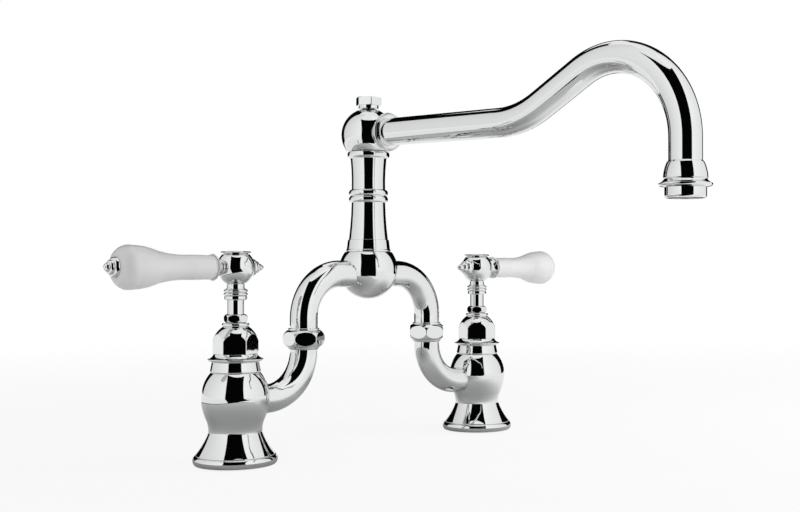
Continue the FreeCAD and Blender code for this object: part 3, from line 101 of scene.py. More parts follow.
# %% Chrome material
def polished_chrome():
    material, tree = new_material("chrome plate, buffed")
    where = add(tree, "ShaderNodeTexCoord").outputs["Object"]
    # a real hairline is finer than 0.01 mm; drawn instead is the 24 mm patch that one pass of
    # the buff leaves, which is coarse enough to show
    haze = add(tree, "ShaderNodeTexNoise", {"Vector": where},
               {"Scale": 1 / (24 * MM), "Detail": 4.0, "Roughness": 0.6})
    rough = add(tree, "ShaderNodeMapRange", {"Value": haze.outputs["Fac"]},
                {"From Min": 0.35, "From Max": 0.7, "To Min": 0.018, "To Max": 0.05})
    peel = add(tree, "ShaderNodeTexNoise", {"Vector": where},
               {"Scale": 1 / (5 * MM), "Detail": 1.0})
    bump = add(tree, "ShaderNodeBump", {"Height": peel.outputs["Fac"]},
               {"Strength": 0.018, "Distance": 0.3 * MM})
    shader = add(tree, "ShaderNodeBsdfPrincipled",
                 {"Roughness": rough.outputs["Result"], "Normal": bump.outputs["Normal"]},
                 {"Base Color": colour("E3E4E4"), "Metallic": 1.0})
    add(tree, "ShaderNodeOutputMaterial", {"Surface": shader.outputs["BSDF"]})
    return material


CHROME = polished_chrome()
print("made", CHROME.name)

# %% [markdown]
# ## Glazed porcelain
# The lever grips are slip-cast porcelain, dipped in clear glaze and fired. The body is a plain
# white that lets a little light in, and the glaze over it is glass: a clear coat with its
# own sharp highlight. The glaze pools and ripples very slightly over a centimetre or so.

# %% Porcelain material
def glazed_porcelain():
    material, tree = new_material("porcelain, slip-cast and glazed")
    where = add(tree, "ShaderNodeTexCoord").outputs["Object"]
    cloud = add(tree, "ShaderNodeTexNoise", {"Vector": where},
                {"Scale": 1 / (14 * MM), "Detail": 3.0})
    tint = add(tree, "ShaderNodeMix", {"Factor": cloud.outputs["Fac"]}, data_type="RGBA")
    tint.inputs[6].default_value = colour("E6E6E6")
    tint.inputs[7].default_value = colour("ECECEC")
    ripple = add(tree, "ShaderNodeTexNoise", {"Vector": where},
                 {"Scale": 1 / (9 * MM), "Detail": 0.5})
    bump = add(tree, "ShaderNodeBump", {"Height": ripple.outputs["Fac"]},
               {"Strength": 0.08, "Distance": 0.4 * MM})
    shader = add(tree, "ShaderNodeBsdfPrincipled",
                 {"Base Color": tint.outputs[2], "Normal": bump.outputs["Normal"],
                  "Coat Normal": bump.outputs["Normal"]},
                 {"Roughness": 0.35, "IOR": 1.5, "Subsurface Weight": 0.15,
                  "Subsurface Scale": 1.5 * MM, "Subsurface Radius": (1.0, 1.0, 1.0),
                  "Coat Weight": 0.3, "Coat Roughness": 0.04})
    add(tree, "ShaderNodeOutputMaterial", {"Surface": shader.outputs["BSDF"]})
    return material


PORCELAIN = glazed_porcelain()
print("made", PORCELAIN.name)

# %% [markdown]
# ## The plain materials inside
# Brass cartridge and post, steel rod and screws, rubber seals, sintered ceramic discs and
# acetal plastic are hidden until the faucet is taken apart. They share one pattern of thinking:
# a base colour that drifts a little, and a grain from how the surface was made.

# %% Materials of the hidden pieces
def workshop_material(name, dark, light, metallic, low, high, grain_mm, relief, stretch=1.0):
    """Colour between two hex values, roughness from low to high, and a bump, by one noise."""
    material, tree = new_material(name)
    where = add(tree, "ShaderNodeTexCoord").outputs["Object"]
    along = add(tree, "ShaderNodeMapping", {"Vector": where})
    along.inputs["Scale"].default_value = (1, 1, stretch)
    grain = add(tree, "ShaderNodeTexNoise", {"Vector": along.outputs["Vector"]},
                {"Scale": 1 / (grain_mm * MM), "Detail": 4.0})
    tint = add(tree, "ShaderNodeMix", {"Factor": grain.outputs["Fac"]}, data_type="RGBA")
    tint.inputs[6].default_value = colour(dark)
    tint.inputs[7].default_value = colour(light)
    rough = add(tree, "ShaderNodeMapRange", {"Value": grain.outputs["Fac"]},
                {"To Min": low, "To Max": high})
    bump = add(tree, "ShaderNodeBump", {"Height": grain.outputs["Fac"]},
               {"Strength": relief, "Distance": 0.2 * MM})
    shader = add(tree, "ShaderNodeBsdfPrincipled",
                 {"Base Color": tint.outputs[2], "Roughness": rough.outputs["Result"],
                  "Normal": bump.outputs["Normal"]}, {"Metallic": metallic})
    add(tree, "ShaderNodeOutputMaterial", {"Surface": shader.outputs["BSDF"]})
    return material


# turned brass has rings round the bar, so its grain is finer along the axis; drawn steel has
# lines along the bar, so its grain is longer there
BRASS = workshop_material("brass, turned", "A9874A", "CBA765",
                          metallic=1.0, low=0.2, high=0.35, grain_mm=1.2, relief=0.15, stretch=6.0)
STEEL = workshop_material("stainless steel, drawn", "8F9194", "B2B4B7",
                          metallic=1.0, low=0.25, high=0.4, grain_mm=1.5, relief=0.1, stretch=0.3)
RUBBER = workshop_material("nitrile rubber, moulded", "141414", "232322",
                           metallic=0.0, low=0.5, high=0.7, grain_mm=0.8, relief=0.2)
CERAMIC = workshop_material("alumina, sintered and lapped", "DAD6CC", "ECE9E1",
                            metallic=0.0, low=0.2, high=0.35, grain_mm=0.6, relief=0.05)
ACETAL = workshop_material("acetal, injection moulded", "DCDCD8", "EDEDEA",
                           metallic=0.0, low=0.3, high=0.45, grain_mm=2.0, relief=0.08)
print("hidden materials:", [m.name for m in (BRASS, STEEL, RUBBER, CERAMIC, ACETAL)])

# %% [markdown]
# ## Drawing a section
# A turner works from half a section: the outline on one side of the axis. Here it is a chain
# of lines and arcs in millimetres, as (radius, height). A bow is how far an arc stands off its
# chord, to the right along the path. Every point keeps the exact normal of its line or arc,
# and the mesh gets it back later, so no facet ever shows in the chrome.

# %% Section drawing
EDGE_EASE = 0.16  # mm that buffing takes off each side of a corner
ARC_STEP = math.radians(4)
TINY = 1e-6


class Section:
    """Chain of strokes; a stroke is a list of points, each with the normal to its right."""

    def __init__(self, radius, height, ease=EDGE_EASE, arc_step=ARC_STEP):
        self.first = self.at = np.array((radius, height), float)
        self.ease, self.arc_step = ease, arc_step
        self.strokes = []

    def line(self, radius, height):
        end = np.array((radius, height), float)
        along = end - self.at
        length = np.hypot(*along)
        if length > TINY:
            right = np.array((along[1], -along[0])) / length
            self.strokes.append([(self.at, right), (end, right)])
        self.at = end
        return self

    def arc(self, radius, height, bow):
        end = np.array((radius, height), float)
        chord = end - self.at
        length = np.hypot(*chord)
        side = np.array((chord[1], -chord[0])) / length
        signed = (length ** 2 / 4 + bow ** 2) / (2 * bow)
        centre = (self.at + end) / 2 + side * (bow - signed)
        turn = 4 * math.atan(2 * abs(bow) / length)
        return self.sweep(centre, end, abs(signed), turn, math.copysign(1, bow))

    def ball(self, centre_height, height):
        """Arc of a ball centred on the axis, going up to a height."""
        centre = np.array((0.0, centre_height))
        size = np.hypot(*(self.at - centre))
        end_radius = math.sqrt(max(size ** 2 - (height - centre_height) ** 2, 0))
        start = math.atan2(self.at[1] - centre_height, self.at[0])
        turn = math.atan2(height - centre_height, end_radius) - start
        return self.sweep(centre, np.array((end_radius, height)), size, turn, 1)

    def dome(self, top):
        """Shallow cap from here to the axis."""
        rise = top - self.at[1]
        size = (self.at[0] ** 2 + rise ** 2) / (2 * rise)
        return self.ball(top - size, top)

    def sweep(self, centre, end, size, turn, sign):
        """Arc round a centre, with the normal pointing away from it or, for sign -1, to it."""
        start = self.at - centre
        count = max(3, math.ceil(abs(turn) / self.arc_step))
        stroke = []
        for step in range(count + 1):
            angle = sign * turn * step / count
            c, s = math.cos(angle), math.sin(angle)
            away = np.array((c * start[0] - s * start[1], s * start[0] + c * start[1]))
            stroke.append((centre + away, sign * away / size))
        stroke[-1] = (end, stroke[-1][1])
        self.strokes.append(stroke)
        self.at = end
        return self


print("a quarter turn in", len(Section(5, 0).ball(0, 5).strokes[0]) - 1, "steps of a fine arc")

# %% [markdown]
# ## Easing the corners
# A polished edge is never sharp. Buffing rounds it, and that is where the highlights sit. So
# both strokes at a corner are cut back a little, and a small curve joins them. The result is
# a table with one row for each short span: its two ends, and the normal at each end.

# %% Corners, and the table of spans
SHARP_CORNER = math.cos(math.radians(12))
LONGEST_TRIM = 0.4  # share of a stroke that easing may take from one end


def trim_end(stroke, cut):
    """Shorten a stroke at its end by a cut, within the longest trim."""
    length = sum(np.hypot(*(b[0] - a[0])) for a, b in zip(stroke, stroke[1:]))
    left = min(cut, LONGEST_TRIM * length)
    while len(stroke) > 1:
        (p, n), (q, m) = stroke[-2:]
        piece = np.hypot(*(q - p))
        if piece > left:
            t = left / piece
            normal = m + (n - m) * t
            stroke[-1] = (q + (p - q) * t, normal / np.hypot(*normal))
            return
        left -= piece
        stroke.pop()


def eased(before, corner, after):
    """Spans of a small curve that rounds a corner between two strokes."""
    (p, n), (q, m) = before, after
    points = []
    for t in (0, 0.25, 0.5, 0.75, 1):
        place = p * (1 - t) ** 2 + corner * 2 * t * (1 - t) + q * t ** 2
        normal = n * (1 - t) + m * t
        size = np.hypot(*normal)
        points.append((place, normal / size if size > TINY else n))
    return list(zip(points, points[1:]))


def spans(section):
    """Table of start, end, normal at start and normal at end, and whether it is a loop."""
    closed = np.hypot(*(section.at - section.first)) < TINY
    if not closed and max(section.first[0], section.at[0]) > TINY:
        section.line(*section.first)
        closed = True
    strokes = [list(stroke) for stroke in section.strokes]
    corners = {}
    for i in range(len(strokes) if closed else len(strokes) - 1):
        j = (i + 1) % len(strokes)
        if np.dot(strokes[i][-1][1], strokes[j][0][1]) < SHARP_CORNER:
            corners[i] = strokes[i][-1][0]
    for i in corners:
        trim_end(strokes[i], section.ease)
        following = strokes[(i + 1) % len(strokes)]
        following.reverse()
        trim_end(following, section.ease)
        following.reverse()
    chain = []
    for i, stroke in enumerate(strokes):
        chain += list(zip(stroke, stroke[1:]))
        if i in corners:
            chain += eased(stroke[-1], corners[i], strokes[(i + 1) % len(strokes)][0])
    table = np.array([(*a[0], *b[0], *a[1], *b[1]) for a, b in chain])
    if np.sum(table[:, 0] * table[:, 3] - table[:, 2] * table[:, 1]) < 0:
        table[:, 4:] *= -1
    return table, closed


print("an eased bar has", len(spans(Section(5, 0).line(5, 9).line(0, 9).line(0, 0))[0]), "spans")

# %% [markdown]
# ## The lathe
# Turned pieces follow one rule: a section goes round an axis. Spin and Screw could do it, but
# as Geometry Nodes the lathe is one tree with named sizes that serves every piece. A circle
# sets the path, Curve to Mesh carries the section round it, and Merge by Distance closes the
# poles where the section touches the axis. With its normal turned up, Curve to Mesh lays the
# section's x outwards and its y downwards, so the wire is drawn to suit.

# %% Lathe tree
def new_tree(name, inputs):
    """A Geometry Nodes tree with one geometry in and out, and named inputs."""
    tree = bpy.data.node_groups.new(name, "GeometryNodeTree")
    tree.interface.new_socket("Geometry", in_out="INPUT", socket_type="NodeSocketGeometry")
    for label, kind in inputs:
        tree.interface.new_socket(label, in_out="INPUT", socket_type="NodeSocket" + kind)
    tree.interface.new_socket("Geometry", in_out="OUTPUT", socket_type="NodeSocketGeometry")
    return tree, add(tree, "NodeGroupInput").outputs


def close_tree(tree, geometry, material):
    """End a tree the same way each time: real geometry, smooth, with its material."""
    real = add(tree, "GeometryNodeRealizeInstances", {"Geometry": geometry})
    smooth = add(tree, "GeometryNodeSetShadeSmooth", {"Geometry": real.outputs["Geometry"]})
    done = add(tree, "GeometryNodeSetMaterial",
               {"Geometry": smooth.outputs["Geometry"], "Material": material})
    add(tree, "NodeGroupOutput", {"Geometry": done.outputs["Geometry"]})


LATHE, given = new_tree("Lathe", [("Path radius", "Float"), ("Steps round", "Int"),
                                  ("Pole merge", "Float"), ("Material", "Material")])
section_curve = add(LATHE, "GeometryNodeMeshToCurve", {"Mesh": given["Geometry"]})
circle = add(LATHE, "GeometryNodeCurvePrimitiveCircle",
             {"Radius": given["Path radius"], "Resolution": given["Steps round"]})
upright = add(LATHE, "GeometryNodeSetCurveNormal", {"Curve": circle.outputs["Curve"]}, mode="Z_UP")
skin = add(LATHE, "GeometryNodeCurveToMesh", {"Curve": upright.outputs["Curve"],
                                              "Profile Curve": section_curve.outputs["Curve"]})
closed_skin = add(LATHE, "GeometryNodeMergeByDistance",
                  {"Geometry": skin.outputs["Mesh"], "Distance": given["Pole merge"]})
close_tree(LATHE, closed_skin.outputs["Geometry"], given["Material"])
print("lathe nodes:", len(LATHE.nodes))

# %% [markdown]
# ## Running a tree and keeping the result
# A modifier's inputs are set by socket identifier, before the object is first evaluated.
# new_from_object then gives a plain mesh. Its doubles are merged, its faces are turned
# outwards, and edges over 35 degrees are marked sharp.

# %% Run a tree, and clean the mesh
POLE_MERGE = 1e-6
SHARP_EDGE = math.radians(35)


def bake(mesh, tree=None, inputs=None, modifiers=()):
    """Run a tree and further modifiers on a mesh, and return the plain result."""
    holder = bpy.data.objects.new("holder", mesh)
    bpy.context.scene.collection.objects.link(holder)
    if tree:
        modifier = holder.modifiers.new("tree", "NODES")
        modifier.node_group = tree
        for item in tree.interface.items_tree:
            if item.in_out == "INPUT" and item.name in inputs:
                modifier[item.identifier] = inputs[item.name]
    for kind, settings in modifiers:
        extra = holder.modifiers.new(kind, kind)
        for name, value in settings.items():
            setattr(extra, name, value)
    depsgraph = bpy.context.evaluated_depsgraph_get()
    result = bpy.data.meshes.new_from_object(holder.evaluated_get(depsgraph))
    bpy.data.objects.remove(holder)
    return result


def tidied(mesh, outwards=True):
    """Merge doubles, drop faces without area, point faces outwards and mark sharp edges."""
    work = bmesh.new()
    work.from_mesh(mesh)
    bmesh.ops.remove_doubles(work, verts=work.verts, dist=POLE_MERGE)
    bmesh.ops.dissolve_degenerate(work, edges=work.edges, dist=POLE_MERGE / 10)
    if outwards:
        bmesh.ops.recalc_face_normals(work, faces=work.faces)
    for face in work.faces:
        face.smooth = True
    work.to_mesh(mesh)
    work.free()
    mesh.set_sharp_from_angle(angle=SHARP_EDGE)
    return mesh


print("edges over", round(math.degrees(SHARP_EDGE)), "degrees stay sharp")

# %% [markdown]
# ## Turning a section, with its exact normals
# A smooth-shaded mesh guesses its normals from its faces. Chrome shows every such guess as a
# ripple. So each face is matched with the span that it was turned from, and its corners get
# the normals of that span. Faces made by a cut match no span and keep their own normals.

# %% Turned pieces
PATH_RADIUS = 0.1
ROUND_STEPS = 96
FARTHEST_SPAN = 0.3 * MM
SAME_WAY = 0.9


def turned(section, material=CHROME, steps=ROUND_STEPS, cuts=()):
    """Turn a section about the Z axis, cut it, and give it the section's exact normals."""
    table, closed = spans(section)
    points = [(r * MM - PATH_RADIUS, -z * MM, 0) for r, z in table[:, :2]]
    edges = [(i, i + 1) for i in range(len(points) - 1)]
    if closed:
        edges.append((len(points) - 1, 0))
    else:
        points.append((table[-1, 2] * MM - PATH_RADIUS, -table[-1, 3] * MM, 0))
        edges.append((len(points) - 2, len(points) - 1))
    wire = bpy.data.meshes.new("section")
    wire.from_pydata(points, edges, [])
    mesh = tidied(bake(wire, LATHE, {"Path radius": PATH_RADIUS, "Steps round": steps,
                                     "Pole merge": POLE_MERGE, "Material": material}))
    if cuts:
        mesh = tidied(cut_by(mesh, cuts), outwards=False)
    return with_normals(mesh, table)


def with_normals(mesh, table):
    """Find the span that each face was turned from, and take the normals from it."""
    start, end = table[:, 0:2] * MM, table[:, 2:4] * MM
    along = end - start
    size = np.maximum((along ** 2).sum(1), 1e-18)
    points, facing = np.empty(len(mesh.vertices) * 3), np.empty(len(mesh.polygons) * 3)
    at, first = np.empty(len(mesh.loops), int), np.empty(len(mesh.polygons), int)
    mesh.vertices.foreach_get("co", points)
    mesh.polygons.foreach_get("normal", facing)
    mesh.loops.foreach_get("vertex_index", at)
    mesh.polygons.foreach_get("loop_start", first)
    corners = points.reshape(-1, 3)[at]
    sides = np.diff(np.append(first, len(at)))[:, None]
    face_of = np.repeat(np.arange(len(first)), sides[:, 0])
    flat = np.column_stack((np.hypot(corners[:, 0], corners[:, 1]), corners[:, 2]))
    middle = np.add.reduceat(flat, first) / sides
    hub = (np.add.reduceat(corners, first) / sides)[:, :2]
    hub /= np.maximum(np.hypot(hub[:, 0], hub[:, 1]), 1e-9)[:, None]
    nearest, span = np.full(len(first), np.inf), np.zeros(len(first), int)
    for i in range(len(table)):
        t = np.clip((middle - start[i]) @ along[i] / size[i], 0, 1)
        gap = ((start[i] + t[:, None] * along[i] - middle) ** 2).sum(1)
        span[gap < nearest] = i
        nearest = np.minimum(gap, nearest)
    guess = table[span, 4:6] + table[span, 6:8]
    guess /= np.hypot(guess[:, 0], guess[:, 1])[:, None]
    outwards = (hub * guess[:, :1] * facing.reshape(-1, 3)[:, :2]).sum(1)
    agrees = outwards + guess[:, 1] * facing[2::3]
    known = ((nearest < FARTHEST_SPAN ** 2) & (agrees > SAME_WAY))[face_of]
    span = span[face_of]
    s = np.clip(((flat - start[span]) * along[span]).sum(1) / size[span], 0, 1)[:, None]
    exact = table[span, 4:6] * (1 - s) + table[span, 6:8] * s
    heading = corners[:, :2] / np.maximum(flat[:, :1], 1e-7)
    normals = np.array([tuple(c.vector) for c in mesh.corner_normals])
    normals[known] = np.column_stack((heading * exact[:, :1], exact[:, 1]))[known]
    mesh.normals_split_custom_set(normals)
    return mesh


trial = turned(Section(0, 0).line(9, 0).arc(9, 12, 2).line(0, 12))
print("a trial bobbin:", len(trial.vertices), "points,", len(trial.polygons), "faces")

# %% [markdown]
# ## Cutting, moving and joining
# Ports and flats are cut by booleans with the exact solver. Moving and joining meshes would
# lose the normals that were set, so two small functions carry them along.

# %% Cut, move and join
def cut_by(mesh, cutters):
    """Subtract closed meshes from a mesh."""
    holders = []
    modifiers = []
    for cutter in cutters:
        tool = bpy.data.objects.new("cutter", cutter)
        bpy.context.scene.collection.objects.link(tool)
        holders.append(tool)
        cut = {"operation": "DIFFERENCE", "object": tool, "solver": "EXACT"}
        modifiers.append(("BOOLEAN", cut))
    result = bake(mesh, modifiers=modifiers)
    for tool in holders:
        bpy.data.objects.remove(tool)
    return result


def moved(mesh, matrix):
    """The same mesh in another place; its custom normals turn with it."""
    copy = mesh.copy()
    normals = [matrix.to_3x3() @ c.vector for c in mesh.corner_normals]
    copy.transform(matrix)
    copy.normals_split_custom_set(normals)
    return copy


def joined(meshes):
    """One mesh from several, keeping the normals of each."""
    normals = []
    work = bmesh.new()
    for mesh in meshes:
        normals += [tuple(c.vector) for c in mesh.corner_normals]
        work.from_mesh(mesh)
    result = meshes[0].copy()
    work.to_mesh(result)
    work.free()
    result.normals_split_custom_set(normals)
    return result


pair = joined([trial, moved(trial, Matrix.Translation((0, 0, 20 * MM)))])
print("two bobbins:", len(pair.polygons), "faces")

# %% [markdown]
# ## Where things stand
# A column is drawn on the Z axis, with its bridge port towards +X and its lever towards -X.
# The left one slides to its inlet, and the right one is turned half round first. A piece that
# lies on its side is turned on Z, then laid.

# %% Placing pieces, and handing them to the frame
INLET_X = 203.2 / 2 * MM
LEFT, RIGHT = -1, 1
SIDES = (("left", LEFT), ("right", RIGHT))
HALF_TURN = Matrix.Rotation(math.pi, 4, "Z")
ALONG_LEVER = Vector((-1, 0, 0))
TOWARDS_BRIDGE = Vector((1, 0, 0))


def on_inlet(side):
    shift = Matrix.Translation((side * INLET_X, 0, 0))
    return shift @ HALF_TURN if side == RIGHT else shift


def laid(direction, height):
    """Matrix that lays a piece drawn along +Z along a direction, at a height in mm."""
    turn = Vector((0, 0, 1)).rotation_difference(direction).to_matrix().to_4x4()
    return Matrix.Translation((0, 0, height * MM)) @ turn


def show(name, mesh, body, slot, *replaced):
    """Make the piece's object, let it ride on its body and stand for its CAD nodes."""
    piece = bpy.data.objects.new(name, mesh)
    mesh.name = name
    bpy.context.scene.collection.objects.link(piece)
    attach(piece, body)
    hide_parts(*replaced)
    return piece


def show_pair(node, mesh, body, slot="polished_chrome"):
    """The same column piece on both sides; body is a name, or None for the handle."""
    for label, side in SIDES:
        rides = body or label + "_handle"
        name = f"{label}_{node}"
        show(name + "_finished", moved(mesh, on_inlet(side)), rides, slot, name)
    print(node, "on both columns,", len(mesh.polygons), "faces each")


print("inlets at x = -/+", round(INLET_X / MM, 1), "mm")

# %% [markdown]
# ## Valve body
# Each column stands on a flared foot, draws in to a waist, and swells to a bulb that the
# bridge arm enters. On the real one it is one brass casting, turned outside. It is one
# section here too, with its bores, and only the port for the arm is cut in afterwards.

# %% Valve bodies
BODY_TOP, PORT_HEIGHT = 54, 36.5
INLET_RADIUS, INLET_DEPTH, WATERWAY = 9.316, 15, 6
CHAMBER_RADIUS, CHAMBER_FLOOR = 10.5, 26
ARM_RADIUS, ARM_BORE = 8.6, 6.6
SOCKET_RADIUS = ARM_RADIUS + 0.05


def cylinder(radius, low, high, matrix):
    """Closed plain cylinder for cutting, in mm, drawn along +Z and then placed."""
    blank = Section(0, low, 0).line(radius, low).line(radius, high).line(0, high)
    return moved(turned(blank), matrix)


body = Section(INLET_RADIUS, 0).line(12.5, 0).line(12.5, 3).line(17.5, 3).line(17.5, 0)
body.line(18.8, 0).line(18.8, 1.6).line(21.8, 1.6).line(21.8, 0)
body.line(23, 0).arc(24.5, 2.7, 0.35).arc(23.4, 5.4, 0.35).line(22.8, 5.4).line(22.8, 6.0)
body.arc(15.5, 19.0, -0.6).arc(16.9, 26.5, -0.45).arc(19.8, 39.5, 0.67).arc(14.3, BODY_TOP, 1.4)
body.line(CHAMBER_RADIUS, BODY_TOP).line(CHAMBER_RADIUS, CHAMBER_FLOOR)
body.line(WATERWAY, CHAMBER_FLOOR).line(WATERWAY, INLET_DEPTH).line(INLET_RADIUS, INLET_DEPTH)
body.line(INLET_RADIUS, 0)
towards_port = laid(TOWARDS_BRIDGE, PORT_HEIGHT)
port = cylinder(5.5, 5, 19.8, towards_port)
socket = cylinder(SOCKET_RADIUS, 13.3, 24.5, towards_port)
show_pair("valve_body", turned(body, cuts=(socket, port)), "bridge")

# %% [markdown]
# ## Rings on the column
# A collar is screwed down on the body, and a dished washer spreads the load of the nut. Both
# columns' rings lie in the same rigid body, so the frame keeps each kind as one node. Here
# each kind is one mesh too, with a ring on each side.

# %% Body collars and dish washers
def show_both(node, mesh, body_name, slot="polished_chrome"):
    """One piece that holds the ring of the left and of the right column."""
    both = joined([moved(mesh, on_inlet(side)) for _, side in SIDES])
    show(node + "_finished", both, body_name, slot, node)
    print(node, len(both.polygons), "faces")


RING_BORE, COLLAR_TOP, WASHER_TOP = 10.65, 60.2, 64.9
collar = Section(RING_BORE, BODY_TOP).line(14.3, BODY_TOP).arc(14.7, 55.2, 0.25)
collar.line(13.7, COLLAR_TOP).line(RING_BORE, COLLAR_TOP)
show_both("body_collars", turned(collar), "bridge")
dish = Section(RING_BORE, COLLAR_TOP).line(13.4, COLLAR_TOP).arc(16.2, 61.5, 0.3)
dish.line(16.2, 62.0).arc(12.6, WASHER_TOP, -0.7).line(RING_BORE, WASHER_TOP)
show_both("dish_washers", turned(dish), "bridge")

# %% [markdown]
# ## Nuts: a turned blank with six flats
# A nut starts as a turned blank, and a mill takes six flats off it. Where the blank is a ball
# or a barrel, each flat meets it in an arch or an oval, and that outline is what the eye
# reads. A boolean would leave that edge rough. Instead each height gets one ring of points:
# straight across the flats, round between them, and a small eased bend where they meet.

# %% One ring of a milled blank
SECTOR = math.pi / 3  # one flat and the round part beside it
FLAT_STEPS, BEND_STEPS, ROUND_PART_STEPS = 4, 4, 8
FLAT_EASE, EASE_SHARE, CORNER_ROUNDING = 0.28, 0.45, 0.12


def flat_ring(radius, apothem, turn):
    """One ring of a blank with six flats: x, y, heading, and 0 on the flat to 1 on the round."""
    circle = max(min(radius, apothem / math.cos(SECTOR / 2) - CORNER_ROUNDING), TINY)
    half_flat = math.acos(apothem / circle) if circle > apothem else 0.0
    width = circle * math.sin(half_flat)
    reach = circle * math.cos(half_flat)
    round_part = (SECTOR / 2 - half_flat) * circle
    ease = min(FLAT_EASE, EASE_SHARE * width, EASE_SHARE * round_part)
    after = half_flat + ease / circle
    straight = width - ease
    half = [(reach, straight * step / FLAT_STEPS, 0.0, 0.0) for step in range(FLAT_STEPS + 1)]
    for step in range(1, BEND_STEPS + 1):
        t = step / BEND_STEPS
        x = reach * (1 - t * t) + circle * math.cos(after) * t * t
        y = straight * (1 - t) ** 2 + width * 2 * t * (1 - t) + circle * math.sin(after) * t * t
        half.append((x, y, after * t, t))
    for step in range(1, ROUND_PART_STEPS + 1):
        angle = after + (SECTOR / 2 - after) * step / ROUND_PART_STEPS
        half.append((circle * math.cos(angle), circle * math.sin(angle), angle, 1.0))
    mirrored = [(x, -y, -angle, blend) for x, y, angle, blend in reversed(half[1:-1])]
    ring = []
    for sector in range(6):
        spin = SECTOR * sector - math.radians(90 + turn)
        c, s = math.cos(spin), math.sin(spin)
        for x, y, angle, blend in mirrored + half:
            ring.append((x * c - y * s, x * s + y * c, angle + spin, blend))
    return ring


print("points in a ring:", len(flat_ring(13, 11.5, 0)))

# %% [markdown]
# ## From rings to a nut
# Two rings make a band of faces for each span of the section. A span that crosses the depth
# of the flats is split there, so that each arch has its top on a ring. On a flat the normals
# point straight out, on the round part they are the section's, and they turn over the bend.

# %% Milled blanks
PLACE_GRID = 1e-4  # mm; points nearer than this are one point


def split_at(row, radius):
    """Cut a span of the table in two where it crosses a radius."""
    t = (radius - row[0]) / (row[2] - row[0])
    middle = row[:2] + (row[2:4] - row[:2]) * t
    normal = row[4:6] + (row[6:8] - row[4:6]) * t
    normal = normal / np.hypot(*normal)
    return [np.array((*row[:2], *middle, *row[4:6], *normal)),
            np.array((*middle, *row[2:4], *normal, *row[6:8]))]


def ring_corners(radius, height, out, up, apothem, turn, has_flats, places):
    """Vertex and normal of each point of a ring; new places are added to the dictionary."""
    corners = []
    for x, y, heading, blend in flat_ring(radius, apothem, turn):
        sideways, upwards = (1 - (1 - out) * blend, up * blend) if has_flats else (out, up)
        normal = Vector((math.cos(heading) * sideways, math.sin(heading) * sideways, upwards))
        key = tuple(round(v / PLACE_GRID) for v in (x, y, height))
        corners.append((places.setdefault(key, len(places)), normal.normalized()))
    return corners


def milled(section, apothem, turn, material=CHROME):
    """Turned blank with six flats, with the exact normal at every corner of every face."""
    places, faces, normals = {}, [], []
    table = []
    for row in spans(section)[0]:
        crosses = min(row[0], row[2]) < apothem - PLACE_GRID and \
            max(row[0], row[2]) > apothem + PLACE_GRID and abs(row[3] - row[1]) > TINY
        table += split_at(row, apothem) if crosses else [row]
    for row in table:
        has_flats = min(row[0], row[2]) > apothem - 1e-3 and abs(row[3] - row[1]) > TINY
        low = ring_corners(*row[[0, 1, 4, 5]], apothem, turn, has_flats, places)
        high = ring_corners(*row[[2, 3, 6, 7]], apothem, turn, has_flats, places)
        for j in range(len(low)):
            k = (j + 1) % len(low)
            corners = {}
            for vertex, normal in (low[j], low[k], high[k], high[j]):
                corners.setdefault(vertex, normal)
            if len(corners) > 2:
                faces.append(list(corners))
                normals.append(list(corners.values()))
    points = [Vector(key) * PLACE_GRID * MM for key in places]
    outward = 0.0
    for face, wanted in zip(faces, normals):
        a, b, c = (points[v] for v in face[:3])
        outward += (b - a).cross(c - a).dot(sum(wanted, Vector()))
    if outward < 0:
        for corners in faces + normals:
            corners.reverse()
    mesh = bpy.data.meshes.new("nut")
    mesh.from_pydata(points, [], faces)
    mesh.materials.append(material)
    mesh.shade_smooth()
    mesh.normals_split_custom_set([n for wanted in normals for n in wanted])
    return mesh


blank = milled(Section(0, 0).line(5, 0).line(5, 4).line(0, 4), 4.4, 0)
print("a trial nut:", len(blank.polygons), "faces")

# %% [markdown]
# ## Bonnet nut and gland nut
# The bonnet nut is a hexagon whose top is turned to a ball, so each flat ends in an arch, and
# a small beaded crown stands on it. The rings are one degree apart there, or the arch would
# look chipped. The gland nut above it is a low barrel with oval flats. Each nut stopped at its
# own angle when it was tightened, so left and right differ.

# %% Bonnet nuts and gland nuts
HEX = math.cos(SECTOR / 2)  # a flat's distance from the axis, as a share of the corner's
BONNET_CORNER, BALL_CENTRE, BALL_RADIUS = 13.3, 69.5, 13.5
GLAND_CORNER, GLAND_BARREL = 7.1, 2.8
HOUSING_TOP, BONNET_TOP, GLAND_TOP = 78.3, 82.9, 88.1
BONNET_TURNS, GLAND_TURNS = (37, 45.7), (45, 45.7)


def bonnet_section():
    side = BONNET_CORNER - CORNER_ROUNDING
    ball_start = BALL_CENTRE + math.sqrt(BALL_RADIUS ** 2 - side ** 2)
    nut = Section(7.05, 47.8, arc_step=math.radians(1)).line(10.45, 47.8).line(10.45, WASHER_TOP)
    nut.line(side, WASHER_TOP).line(side, ball_start).ball(BALL_CENTRE, 80.7).line(7.5, 80.7)
    nut.arc(7.5, BONNET_TOP, 0.5).line(5.95, BONNET_TOP).line(5.95, HOUSING_TOP)
    return nut.line(7.05, HOUSING_TOP).line(7.05, 47.8)


def barrel(corner, barrel_radius, low, high):
    """End radius and bow of a barrel-shaped blank whose widest part is a corner radius."""
    half = (high - low) / 2
    bow = barrel_radius - math.sqrt(barrel_radius ** 2 - half ** 2)
    return corner - bow, bow


def gland_section():
    end, bow = barrel(GLAND_CORNER, GLAND_BARREL, BONNET_TOP, GLAND_TOP)
    nut = Section(4.86, HOUSING_TOP, arc_step=math.radians(3)).line(5.9, HOUSING_TOP)
    nut.line(5.9, BONNET_TOP).line(end, BONNET_TOP).arc(end, GLAND_TOP, bow)
    return nut.line(4.86, GLAND_TOP).line(4.86, HOUSING_TOP)


